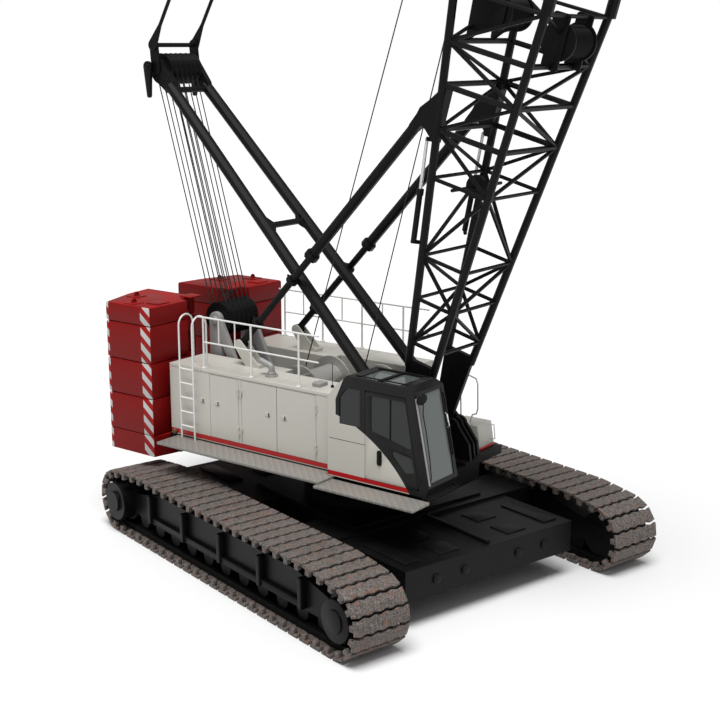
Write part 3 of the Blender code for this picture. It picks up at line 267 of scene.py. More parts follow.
@dataclass(frozen=True)
class Weather:
    """The shared group that dusts upward faces and streaks upright ones.

    Given a lighter colour, it paints light on upward faces instead, as on the counterweights' tops.

    Attributes:
        upward: The upward share of a normal where dust starts and where it is full.
        patch: The scale of the dust's patches, and the noise where they start and are full.
        grain: The same for the grains in them.
        run: The same for the rain's marks.
        flow: How the marks' coordinates are stretched.
        tone: The scale of the slow change of tone, its reach and its lowest value.
        dulling: How much rougher full dust and full marks make a surface.
    """

    upward: Point = (0.35, 0.95)
    patch: Place = (1.7, 0.40, 0.68)
    grain: Place = (38.0, 0.35, 0.70)
    run: Place = (1.6, 0.52, 0.78)
    flow: Place = (5.0, 5.0, 0.35)
    tone: Place = (0.55, 0.14, 0.93)
    dulling: Point = (0.35, 0.15)

    def build(self) -> bpy.types.NodeTree:
        """Build the group.

        Returns:
            The group, with the inputs Colour, Dust Colour, Dust and Streak and the outputs
            Colour and Roughness Change.
        """
        bench, given, result = new_group(
            "weathering",
            {"Colour": "Color", "Dust Colour": "Color", "Dust": "Float", "Streak": "Float"},
            {"Colour": "Color", "Roughness Change": "Float"})
        place = bench.add("TexCoord").outputs["Object"]
        normal = bench.split(bench.add("NewGeometry").outputs["Normal"])
        facing_up = bench.ramp(normal[2], *self.upward)
        patches = bench.ramp(bench.noise(place, self.patch[0], 5.0), *self.patch[1:])
        grains = bench.ramp(bench.noise(place, self.grain[0], 2.0), *self.grain[1:])
        spread = bench.math("MULTIPLY", patches, bench.affine(grains, 0.5, 0.5))
        dust = bench.math("MULTIPLY", bench.math("MULTIPLY", spread, facing_up), given["Dust"])
        runs = bench.noise(bench.stretched(place, self.flow), self.run[0], 4.0)
        streak = bench.math("MULTIPLY", bench.ramp(runs, *self.run[1:]), given["Streak"])
        streaked = bench.blend(streak, given["Colour"], given["Dust Colour"])
        shaded = bench.add("VectorMath", operation="SCALE")
        bench.wire(streaked, shaded.inputs[0])
        tone = bench.affine(bench.noise(place, self.tone[0], 2.0), *self.tone[1:])
        bench.wire(tone, shaded.inputs["Scale"])
        dusted = bench.blend(dust, shaded.outputs[0], given["Dust Colour"])
        bench.wire(dusted, result["Colour"])
        duller = [bench.math("MULTIPLY", value, share)
                  for value, share in zip((dust, streak), self.dulling)]
        bench.wire(bench.math("ADD", *duller), result["Roughness Change"])
        return bench.tree


@dataclass(frozen=True)
class Relief:
    """The shared group that gives a surface its fine relief.

    Attributes:
        fine: The scale of the orange peel.
        broad: The scale of the waviness.
    """

    fine: float = 90.0
    broad: float = 3.5

    def build(self) -> bpy.types.NodeTree:
        """Build the group.

        Returns:
            The group, with the inputs Fine and Broad and the output Height.
        """
        bench, given, result = new_group(
            "surface_relief", {"Fine": "Float", "Broad": "Float"}, {"Height": "Float"})
        place = bench.add("TexCoord").outputs["Object"]
        fine = bench.math("MULTIPLY", bench.noise(place, self.fine, 2.0), given["Fine"])
        broad = bench.math("MULTIPLY", bench.noise(place, self.broad, 2.0), given["Broad"])
        bench.wire(bench.math("ADD", fine, broad), result["Height"])
        return bench.tree


class Effects:
    """The shared shader groups, each built once.

    Attributes:
        weather: The group of dust and streaks.
        relief: The group of the fine relief.
    """

    weather: bpy.types.NodeTree
    relief: bpy.types.NodeTree

    @classmethod
    def build(cls) -> None:
        """Build every group."""
        cls.weather = Weather().build()
        cls.relief = Relief().build()


@dataclass(frozen=True)
class Paint:
    """A sprayed coat on steel.

    Attributes:
        name: The material's name.
        colour: The coat's colour.
        dust: The colour laid on upward faces: dirt on most coats, painted light on the
            counterweights.
        roughness: Its roughness where it is clean.
        metallic: Its metallic value.
        dust_and_top_light_share: How much of that colour lies on upward faces.
        streaking: How strong the rain marks are on upright faces.
        rounding: The width over which edges catch light, in metres.
        relief: The height of its orange peel, in metres.
        clearcoat: The weight of its gloss coat.
        gloss: How strongly it mirrors its surroundings.
    """

    name: str
    colour: Colour
    dust: Colour = (0.30, 0.27, 0.23)
    roughness: float = 0.42
    metallic: float = 0.0
    dust_and_top_light_share: float = 0.25
    streaking: float = 0.10
    rounding: float = 0.012
    relief: float = 0.0006
    clearcoat: float = 0.0
    gloss: float = 0.5

    def pattern(self, bench: Bench, place: Socket) -> object:
        """Return the coat's own colour before weather, as a colour or a socket."""
        return self.colour

    def raised(self, bench: Bench, place: Socket) -> object:
        """Return a height added to the fine relief, as a number or a socket."""
        return 0.0

    def build(self) -> bpy.types.Material:
        """Make the material.

        Returns:
            The finished material.
        """
        material = bpy.data.materials.new(self.name)
        material.use_nodes = True
        bench = Bench(material.node_tree)
        shader = material.node_tree.nodes["Principled BSDF"]
        place = bench.add("TexCoord").outputs["Object"]
        weather = bench.add("Group", node_tree=Effects.weather)
        own = self.pattern(bench, place)
        if isinstance(own, Socket):
            bench.wire(own, weather.inputs["Colour"])
        else:
            weather.inputs["Colour"].default_value = (*own, 1.0)
        # On the counterweights this colour is a lighter red: painted light on their tops.
        weather.inputs["Dust Colour"].default_value = (*self.dust, 1.0)
        weather.inputs["Dust"].default_value = self.dust_and_top_light_share
        weather.inputs["Streak"].default_value = self.streaking
        bench.wire(weather.outputs["Colour"], shader.inputs["Base Color"])
        rough = bench.math("ADD", weather.outputs["Roughness Change"], self.roughness)
        bench.wire(rough, shader.inputs["Roughness"])
        shader.inputs["Metallic"].default_value = self.metallic
        shader.inputs["Coat Weight"].default_value = self.clearcoat
        shader.inputs["Specular IOR Level"].default_value = self.gloss
        relief = bench.add("Group", node_tree=Effects.relief)
        relief.inputs["Fine"].default_value = 1.0
        relief.inputs["Broad"].default_value = 2.0
        bump = bench.add("Bump")
        bump.inputs["Distance"].default_value = self.relief
        bump.inputs["Strength"].default_value = 0.6
        height = bench.math("ADD", relief.outputs["Height"], self.raised(bench, place))
        bench.wire(height, bump.inputs["Height"])
        soft_edge = bench.add("Bevel", samples=4)
        soft_edge.inputs["Radius"].default_value = self.rounding
        bench.wire(soft_edge.outputs["Normal"], bump.inputs["Normal"])
        bench.wire(bump.outputs["Normal"], shader.inputs["Normal"])
        return material


@dataclass(frozen=True)
class MarkedPaint(Paint):
    """A coat with marks that are placed from the slewing axis.

    Attributes:
        origin: The slewing axis at the floor, in the frame's place.
        red: The colour of the red marks.
        black: The colour of the black marks.
    """

    origin: Point = (0.0, 0.0)
    red: Colour = (0.42, 0.006, 0.008)
    black: Colour = (0.008, 0.008, 0.008)

    def places(self, bench: Bench, place: Socket) -> tuple[Socket, ...]:
        """Return X, Y and Z from the slewing axis."""
        x, y, z = bench.split(place)
        x, y = (bench.math("SUBTRACT", value, start) for value, start in zip((x, y), self.origin))
        return x, y, z


@dataclass(frozen=True)
class HousePaint(MarkedPaint):
    """The cream of the machinery houses with the red stripe and the black line at their foot.

    Attributes:
        stripe: The stripe's lowest and highest level.
        line: The line's lowest and highest level.
    """

    stripe: Point = (1.976, 2.068)
    line: Point = (1.900, 1.962)

    def pattern(self, bench: Bench, place: Socket) -> Socket:
        """Return cream with the stripe and the line."""
        x, y, z = self.places(bench, place)
        striped = bench.blend(bench.inside(z, *self.stripe), self.colour, self.red)
        return bench.blend(bench.inside(z, *self.line), striped, self.black)


@dataclass(frozen=True)
class CabPaint(MarkedPaint):
    """The cab's two colours, black swept down from roof to front, with a stripe at the foot.

    Attributes:
        sweep: The X, Z and radius of the arc that parts cream from black.
        rear: The X of the upright rear edge of the black.
        lean: How far that edge leans forward for each metre above its knee.
        knee: The height where it starts to lean.
        stripe: The stripe's lowest and highest level.
        groove: The groove's lowest and highest level in the rear side panel.
        groove_ends: The X of the groove's two ends.
        groove_shade_colour: The colour of the painted shade in the groove.
        foot: The level under which the side is black.
    """

    sweep: Place = (-0.033, 0.529, 2.63)
    rear: float = 0.62
    lean: float = 0.452
    knee: float = 3.35
    stripe: Point = (1.966, 2.048)
    groove: Point = (2.632, 2.646)
    groove_ends: Point = (0.48, 1.25)
    groove_shade_colour: Colour = (0.10, 0.10, 0.095)
    foot: float = 1.951

    def pattern(self, bench: Bench, place: Socket) -> Socket:
        """Draw cream and black with the stripe.

        Args:
            bench: Where the nodes are added.
            place: The coordinates.

        Returns:
            The cab's own colour.
        """
        x, y, z = self.places(bench, place)
        squares = [bench.math("POWER", bench.math("SUBTRACT", value, middle), 2.0)
                   for value, middle in zip((x, z), self.sweep)]
        outside = bench.math("GREATER_THAN", bench.math("ADD", *squares), self.sweep[2] ** 2)
        above = bench.math("MAXIMUM", bench.math("SUBTRACT", z, self.knee), 0.0)
        edge = bench.math("SUBTRACT", x, bench.math("MULTIPLY", above, self.lean))
        ahead = bench.math("GREATER_THAN", edge, self.rear)
        striped = bench.blend(bench.inside(z, *self.stripe), self.colour, self.red)
        # Painted shade in the groove across the rear side panel.
        level = bench.inside(z, *self.groove)
        groove_shade_mask = bench.math("MULTIPLY", level, bench.inside(x, *self.groove_ends))
        panel = bench.blend(groove_shade_mask, striped, self.groove_shade_colour)
        line = bench.blend(bench.math("LESS_THAN", z, self.foot), panel, self.black)
        return bench.blend(bench.math("MULTIPLY", outside, ahead), line, self.black)


@dataclass(frozen=True)
class WeightPaint(MarkedPaint):
    """The red of the counterweights with slanting white hazard bands along their outer corners.

    Attributes:
        side: The Y of the outer faces, taken without its sign.
        bands: The lowest and highest X of each strip of bands.
        pitch: The height from one white band to the next.
        slope: How far the bands fall for each metre along X.
        white: The colour of the bands.
    """

    side: float = 1.90
    bands: tuple[Point, ...] = ((-3.97, -3.715), (-4.93, -4.84))
    pitch: float = 0.285
    slope: float = 0.80
    white: Colour = (0.48, 0.48, 0.47)

    def pattern(self, bench: Bench, place: Socket) -> Socket:
        """Draw red with the bands.

        Args:
            bench: Where the nodes are added.
            place: The coordinates.

        Returns:
            The slabs' own colour.
        """
        x, y, z = self.places(bench, place)
        outer = bench.math("GREATER_THAN", bench.math("ABSOLUTE", y), self.side)
        strip = bench.math("MAXIMUM", *[bench.inside(x, *pair) for pair in self.bands])
        slant = bench.math("ADD", z, bench.math("MULTIPLY", x, self.slope))
        wave = bench.math("FRACT", bench.math("DIVIDE", slant, self.pitch))
        strip = bench.math("MULTIPLY", strip, outer)
        banded = bench.blend(strip, self.colour, self.red)
        white = bench.math("MULTIPLY", strip, bench.math("GREATER_THAN", wave, 0.5))
        return bench.blend(white, banded, self.white)


@dataclass(frozen=True)
class TreadPaint(Paint):
    """Light tread plate with crossing lozenges that stand out of it.

    Attributes:
        pitch: The distance from one lozenge to the next.
        length: Where a lozenge starts and ends, as shares of the pitch.
        width: The same across it.
        rise: How far it stands out, in heights of the fine relief.
        shade: How dark the ground between the lozenges is.
    """

    pitch: float = 0.11
    length: Point = (0.12, 0.62)
    width: Point = (0.25, 0.45)
    rise: float = 4.0
    shade: float = 0.72

    def lozenges(self, bench: Bench, place: Socket) -> Socket:
        """Draw lozenges as 1 and the ground between them as 0.

        Args:
            bench: Where the nodes are added.
            place: The coordinates.

        Returns:
            The pattern of both directions.
        """
        both = []
        for turn, shift in ((0.785, 0.0), (-0.785, 0.25)):
            x, y, z = bench.split(bench.stretched(place, (1.0, 1.0, 1.0), (0.0, 0.0, turn)))
            along, across = (bench.math("FRACT", bench.affine(value, 1.0 / self.pitch, shift))
                             for value in (x, y))
            ends = bench.inside(along, *self.length)
            both.append(bench.math("MULTIPLY", ends, bench.inside(across, *self.width)))
        return bench.math("MAXIMUM", *both)

    def pattern(self, bench: Bench, place: Socket) -> Socket:
        """Return the plate's grey, lighter on the lozenges."""
        ground = tuple(self.shade * part for part in self.colour)
        return bench.blend(self.lozenges(bench, place), ground, self.colour)

    def raised(self, bench: Bench, place: Socket) -> Socket:
        """Return the height of the lozenges."""
        return bench.math("MULTIPLY", self.lozenges(bench, place), self.rise)


@dataclass(frozen=True)
class RopeSteel(Paint):
    """Wire rope on a drum or in a fall, with the lay of its strands.

    Attributes:
        pitch: The distance from one turn to the next.
        rise: How far a turn stands out, in heights of the fine relief for each metre.
    """

    pitch: float = 0.03
    rise: float = 60.0

    def raised(self, bench: Bench, place: Socket) -> Socket:
        """Return the round backs of the rope's turns, side by side across Y."""
        x, y, z = bench.split(place)
        return bench.math("MULTIPLY", bench.math("PINGPONG", y, self.pitch / 2.0), self.rise)


@dataclass(frozen=True)
class Glazing:
    """Tinted cab glass.

    Attributes:
        name: The material's name.
        colour: The tint seen in the glass, lighter in the front copy as painted light.
        clearness: The share of light that it lets through.
    """

    name: str
    colour: Colour
    clearness: float = 0.55

    def build(self) -> bpy.types.Material:
        """Make the material.

        Returns:
            The finished material.
        """
        material = bpy.data.materials.new(self.name)
        material.use_nodes = True
        bench = Bench(material.node_tree)
        shader = material.node_tree.nodes["Principled BSDF"]
        place = bench.add("TexCoord").outputs["Object"]
        haze = bench.affine(bench.noise(place, 4.0), 0.05, 0.02)
        bench.wire(haze, shader.inputs["Roughness"])
        shader.inputs["Base Color"].default_value = (*self.colour, 1.0)
        shader.inputs["Transmission Weight"].default_value = self.clearness
        shader.inputs["IOR"].default_value = 1.45
        return material


@dataclass(frozen=True)
class ShoeSteel(Paint):
    """Cast track shoes, speckled with worn metal, rust and dry earth.

    Attributes:
        earth: The colour of the dark ground.
        rust: The colour of the rust.
        worn: The colour of the bare flecks.
    """

    earth: Colour = (0.055, 0.048, 0.043)
    rust: Colour = (0.20, 0.085, 0.045)
    worn: Colour = (0.42, 0.40, 0.38)

    def pattern(self, bench: Bench, place: Socket) -> Socket:
        """Draw the speckled colour of the shoes.

        Args:
            bench: Where the nodes are added.
            place: The coordinates.

        Returns:
            The shoes' own colour.
        """
        grains = bench.noise(place, 26.0, 6.0)
        flecks = bench.ramp(bench.noise(place, 60.0, 3.0), 0.55, 0.66)
        rust = bench.ramp(bench.noise(place, 11.0, 5.0), 0.50, 0.70)
        ground = bench.blend(bench.ramp(grains, 0.38, 0.62), self.earth, self.colour)
        rusty = bench.blend(bench.math("MULTIPLY", rust, 0.6), ground, self.rust)
        return bench.blend(bench.math("MULTIPLY", flecks, 0.55), rusty, self.worn)


@dataclass
class Studio:
    """The plain studio round the crane.

    Attributes:
        floor_half: Half the floor's width.
        floor_grey: The floor's lightness.
        sky: How strong the sky is as a light, and how much more where it is seen.
        key: The key light's strength, and its angle in degrees.
        toward: The direction of the key light.
        lens: The camera's focal length.
        sensor: The width of its sensor.
        reach: How far it sees.
        place: The camera's place in the axes of the upper works, from the slewing axis.
        azimuth: The camera's azimuth about the upright, in degrees.
        elevation: Its elevation, in degrees.
        roll: Its roll, in degrees.
    """

    floor_half: float = 160.0
    floor_grey: float = 0.72
    sky: Point = (0.4, 0.6)
    key: Point = (3.6, 34.0)
    toward: Place = (0.16, -0.30, 1.25)
    lens: float = 65.47
    sensor: float = 36.0
    reach: float = 400.0
    place: Place = (13.968, -18.883, 9.264)
    azimuth: float = 36.86
    elevation: float = 13.55
    roll: float = 0.05

    def lay_floor(self) -> None:
        """Make the pale floor, which takes the crane's shadow."""
        bpy.ops.object.select_all(action="DESELECT")
        bpy.ops.mesh.primitive_plane_add(size=2.0 * self.floor_half)
        floor = bpy.context.object
        floor.name = "studio_floor"
        material = bpy.data.materials.new("studio_floor")
        material.use_nodes = True
        shader = material.node_tree.nodes["Principled BSDF"]
        shader.inputs["Base Color"].default_value = (*[self.floor_grey] * 3, 1.0)
        shader.inputs["Roughness"].default_value = 1.0
        shader.inputs["Specular IOR Level"].default_value = 0.0
        floor.data.materials.append(material)

    def light(self, centre: Vector) -> None:
        """Set one broad key light and an even sky.

        Args:
            centre: The middle of the crane at the floor.
        """
        world = bpy.data.worlds.new("studio_sky")
        bpy.context.scene.world = world
        world.use_nodes = True
        bench = Bench(world.node_tree)
        sky = world.node_tree.nodes["Background"]
        sky.inputs["Color"].default_value = (1.0, 1.0, 1.0, 1.0)
        ray = bench.add("LightPath")
        rays = [ray.outputs["Is %s Ray" % kind] for kind in ("Camera", "Transmission")]
        seen = bench.math("MAXIMUM", *rays)
        bench.wire(bench.affine(seen, self.sky[1], self.sky[0]), sky.inputs["Strength"])
        key = bpy.data.lights.new("key_light", "SUN")
        key.energy = self.key[0]
        key.angle = math.radians(self.key[1])
        lamp = bpy.data.objects.new("key_light", key)
        bpy.context.scene.collection.objects.link(lamp)
        toward = Vector(self.toward)
        lamp.rotation_euler = toward.to_track_quat("Z", "Y").to_euler()
        lamp.location = centre + toward * 20.0

    def set_camera(self, slew: Vector) -> None:
        """Place the camera as the photograph was taken.

        Args:
            slew: The slewing axis at the floor.
        """
        azimuth, elevation, roll = map(math.radians, (self.azimuth, self.elevation, self.roll))
        flat = math.cos(elevation)
        back = Vector((math.sin(azimuth) * flat, -math.cos(azimuth) * flat, math.sin(elevation)))
        right = Vector((math.cos(azimuth), math.sin(azimuth), 0.0))
        up = back.cross(right)
        across = right * math.cos(roll) + up * math.sin(roll)
        above = up * math.cos(roll) - right * math.sin(roll)
        data = bpy.data.cameras.new("photo_camera")
        data.lens = self.lens
        data.sensor_width = self.sensor
        data.clip_end = self.reach
        camera = bpy.data.objects.new("photo_camera", data)
        bpy.context.scene.collection.objects.link(camera)
        axes = Matrix((across, above, back)).transposed().to_4x4()
        axes.translation = slew + Vector(self.place)
        camera.matrix_world = axes
        bpy.context.scene.camera = camera


# The X and Z of the boom's foot pin, and the boom's angle at rest.
BOOM_FOOT = (1.17, 2.20)
BOOM_ANGLE = math.radians(75.0)
# The levels of the walkways beside the houses and of the houses' roofs.
DECK = 1.944
ROOF = 3.35


def on_boom(along: float, y: float, forward: float) -> Place:
    """Return a place along the boom, across it and forward of its middle, from the slewing axis."""
    run, rise = math.cos(BOOM_ANGLE), math.sin(BOOM_ANGLE)
    x, z = along * run + forward * rise, along * rise - forward * run
    return BOOM_FOOT[0] + x, y, BOOM_FOOT[1] + z


def arc(centre: Point, radius: float, first: float, last: float, steps: int = 8) -> list[Point]:
    """Return points of an arc between two angles in degrees."""
    turns = [math.radians(first + (last - first) * step / steps) for step in range(steps + 1)]
    x, y = centre
    return [(x + radius * math.cos(turn), y + radius * math.sin(turn)) for turn in turns]


def rounded(outline: list[Point], radius: float, steps: int = 4) -> list[Point]:
    """Round the corners of a closed outline.

    Args:
        outline: Its corners in order.
        radius: The radius at each corner.
        steps: The number of lines in each arc.

    Returns:
        The outline with an arc at each corner.
    """
    result = []
    for number, corner in enumerate(outline):
        here = Vector(corner)
        before = (Vector(outline[number - 1]) - here).normalized()
        after = (Vector(outline[(number + 1) % len(outline)]) - here).normalized()
        half = before.angle(after) / 2.0
        centre = here + (before + after).normalized() * radius / math.sin(half)
        start = here + before * radius / math.tan(half) - centre
        end = here + after * radius / math.tan(half) - centre
        for step in range(steps + 1):
            result.append(tuple(centre + start.lerp(end, step / steps).normalized() * radius))
    return result


def take(piece: Thing) -> Thing:
    """Make one object the only selected and the active one.

    Args:
        piece: The object.

    Returns:
        The same object.
    """
    bpy.ops.object.select_all(action="DESELECT")
    piece.select_set(True)
    bpy.context.view_layer.objects.active = piece
    return piece


def settle(piece: Thing) -> Thing:
    """Apply an object's place, turn and scale to its mesh.

    Args:
        piece: The object.

    Returns:
        The same object, at the origin.
    """
    take(piece)
    bpy.ops.object.transform_apply(location=True, rotation=True, scale=True)
    return piece


def soften(piece: Thing, width: float, segments: int = 2) -> Thing:
    """Round the sharp edges with an applied bevel.

    Args:
        piece: The object.
        width: The width of the bevel.
        segments: The number of faces across it.

    Returns:
        The same object.
    """
    take(piece)
    change = piece.modifiers.new("soft_edges", "BEVEL")
    change.width = width
    change.segments = segments
    change.limit_method = "ANGLE"
    bpy.ops.object.modifier_apply(modifier=change.name)
    return piece


def as_mesh(piece: Thing) -> Thing:
    """Turn a curve object into a mesh.

    Args:
        piece: The curve object.

    Returns:
        The mesh object.
    """
    take(piece)
    bpy.ops.object.convert(target="MESH")
    return bpy.context.object


def face_outward(piece: Thing, weld: float = 0.0) -> Thing:
    """Turn a mesh's faces outward.

    Args:
        piece: The object.
        weld: The distance under which corners are joined first.

    Returns:
        The same object.
    """
    take(piece)
    bpy.ops.object.mode_set(mode="EDIT")
    bpy.ops.mesh.select_all(action="SELECT")
    if weld:
        bpy.ops.mesh.remove_doubles(threshold=weld)
    bpy.ops.mesh.normals_make_consistent(inside=False)
    bpy.ops.object.mode_set(mode="OBJECT")
    return piece


def new_curve(name: str, dimensions: str) -> tuple[Thing, bpy.types.Curve]:
    """Add an empty curve object to the scene.

    Args:
        name: The object's name.
        dimensions: Whether it is 2D or 3D.

    Returns:
        The object and its curve.
    """
    data = bpy.data.curves.new(name, "CURVE")
    data.dimensions = dimensions
    piece = bpy.data.objects.new(name, data)
    bpy.context.scene.collection.objects.link(piece)
    return piece, data


def add_line(data: bpy.types.Curve, points: list, closed: bool) -> None:
    """Add one straight-sided line to a curve.

    Args:
        data: The curve.
        points: The line's points, with two or three values each.
        closed: Whether its last point is joined to its first.
    """
    line = data.splines.new("POLY")
    line.points.add(len(points) - 1)
    for spot, point in zip(line.points, points):
        spot.co = (*point, *([0.0] * (3 - len(point))), 1.0)
    line.use_cyclic_u = closed


def slab(name: str, outlines: list[list[Point]], start: float, end: float, axis: str = "y",
         soft: float = 0.0) -> Thing:
    """Fill an outline, with any further outlines as holes, and give it depth along one axis.

    Args:
        name: The object's name.
        outlines: The outer outline and then the holes.
        start: Where it starts along the axis.
        end: Where it ends.
        axis: The axis of its depth.
        soft: The width of its rounded edges.

    Returns:
        The new object.
    """
    piece, data = new_curve(name, "2D")
    data.fill_mode = "BOTH"
    data.extrude = abs(end - start) / 2.0 - soft
    data.bevel_depth = soft
    data.bevel_resolution = 1
    data.offset = -soft
    for outline in outlines:
        add_line(data, outline, True)
    piece = face_outward(as_mesh(piece), WELD)
    quarter = math.pi / 2.0
    turns = {"x": (quarter, 0.0, quarter), "y": (quarter, 0.0, 0.0), "z": (0.0, 0.0, 0.0)}
    piece.rotation_euler = turns[axis]
    piece.location["xyz".index(axis)] = (start + end) / 2.0
    return settle(piece)


def tube(name: str, chain: list[Place], radius: float, closed: bool = False,
         fineness: int = 2) -> Thing:
    """Lay a round bar along a chain of points.

    Args:
        name: The object's name.
        chain: The points of its middle line.
        radius: The bar's radius.
        closed: Whether it is a ring.
        fineness: How finely it is rounded.

    Returns:
        The new object.
    """
    piece, data = new_curve(name, "3D")
    data.bevel_depth = radius
    data.bevel_resolution = fineness
    data.use_fill_caps = True
    add_line(data, chain, closed)
    return face_outward(as_mesh(piece), WELD)


def block(name: str, low: Place, high: Place, soft: float = 0.0) -> Thing:
    """Add a box between two corners.

    Args:
        name: The object's name.
        low: Its lowest corner.
        high: Its highest corner.
        soft: The width of its rounded edges.

    Returns:
        The new object.
    """
    bpy.ops.object.select_all(action="DESELECT")
    middle = [(a + b) / 2.0 for a, b in zip(low, high)]
    size = [abs(b - a) for a, b in zip(low, high)]
    bpy.ops.mesh.primitive_cube_add(size=1.0, location=middle, scale=size)
    piece = bpy.context.object
    piece.name = name
    settle(piece)
    return soften(piece, soft) if soft else piece


def plate_at(name: str, middle: Point, half: Point, levels: Point, soft: float) -> Thing:
    """Add a box about one upright line.

    Args:
        name: The object's name.
        middle: The line's X and Y.
        half: Half its length along X and Y.
        levels: Its lowest and highest level.
        soft: The width of its rounded edges.

    Returns:
        The new object.
    """
    low, high = ((middle[0] + sign * half[0], middle[1] + sign * half[1], level)
                 for sign, level in zip((-1.0, 1.0), levels))
    return block(name, low, high, soft)


def drum(name: str, start: Place, end: Place, radius: float, soft: float = 0.0,
         sides: int = 32) -> Thing:
    """Add a cylinder between two points.

    Args:
        name: The object's name.
        start: The middle of its first end.
        end: The middle of its other end.
        radius: Its radius.
        soft: The width of its rounded rims.
        sides: The number of faces round it.

    Returns:
        The new object.
    """
    bpy.ops.object.select_all(action="DESELECT")
    first, last = Vector(start), Vector(end)
    turn = (last - first).to_track_quat("Z", "Y").to_euler()
    bpy.ops.mesh.primitive_cylinder_add(vertices=sides, radius=radius, depth=(last - first).length,
                                        location=(first + last) / 2.0, rotation=turn)
    piece = bpy.context.object
    piece.name = name
    settle(piece)
    return soften(piece, soft) if soft else piece


def lathe(name: str, centre: Point, profile: list[Point], steps: int = 40) -> Thing:
    """Turn a profile of (Y, radius) points about an axle along Y.

    Args:
        name: The object's name.
        centre: The axle's X and Z.
        profile: The outline from one end of the axle to the other.
        steps: The number of faces round it.

    Returns:
        The new object.
    """
    piece, data = new_curve(name, "3D")
    add_line(data, [(0.0, y, radius) for y, radius in profile], False)
    piece = as_mesh(piece)
    turned = piece.modifiers.new("turned", "SCREW")
    turned.axis = "Y"
    turned.steps = steps
    turned.render_steps = steps
    turned.use_merge_vertices = True
    turned.merge_threshold = 2.0 * WELD
    bpy.ops.object.modifier_apply(modifier=turned.name)
    piece.location = (centre[0], 0.0, centre[1])
    return face_outward(settle(piece))


def joined(name: str, pieces: list[Thing]) -> Thing:
    """Join objects into the first of them.

    Args:
        name: The name of the whole.
        pieces: The objects.

    Returns:
        The joined object.
    """
    take(pieces[0])
    for piece in pieces:
        piece.select_set(True)
    bpy.ops.object.join()
    pieces[0].name = name
    return pieces[0]


def copied(piece: Thing, place: Place, turn: Place) -> Thing:
    """Copy a modelled piece with a mesh of its own.

    Args:
        piece: The piece, modelled about the origin.
        place: Where the copy goes.
        turn: Its turn about each axis, in radians.

    Returns:
        The copy.
    """
    twin = piece.copy()
    twin.data = piece.data.copy()
    bpy.context.scene.collection.objects.link(twin)
    twin.rotation_euler = turn
    twin.location = place
    return settle(twin)


@dataclass
class Site:
    """Where the crane stands, and the finishes that its pieces take.

    Attributes:
        slew: The slewing axis at the floor.
        looks: The finishes by their short names.
    """

    slew: Vector
    looks: dict[str, bpy.types.Material]

    def finish(self, piece: Thing, look: str, smooth: float, turn: float = 0.0) -> None:
        """Smooth a piece, set it in the crane's place and give it a finish.

        Args:
            piece: The modelled piece, placed from the slewing axis.
            look: The short name of its finish.
            smooth: The angle under which edges are smooth, in degrees.
            turn: Its turn about the slewing axis, in radians.
        """
        take(piece)
        bpy.ops.object.shade_smooth_by_angle(angle=math.radians(smooth))
        piece.rotation_euler = (0.0, 0.0, turn)
        piece.location = self.slew
        settle(piece)
        piece.data.materials.clear()
        piece.data.materials.append(self.looks[look])

    def fit(self, piece: Thing, body: str, look: str, smooth: float = 35.0,
            lower: bool = False) -> Thing:
        """Finish a piece, set it in the crane's place and let it ride.

        Args:
            piece: The modelled piece, placed from the slewing axis.
            body: The body that carries it.
            look: The short name of its finish.
            smooth: The angle under which edges are smooth, in degrees.
            lower: Whether it lies square to the tracks.

        Returns:
            The finished piece.
        """
        self.finish(piece, look, smooth, TRACK_TURN if lower else 0.0)
        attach(piece, body)
        return piece


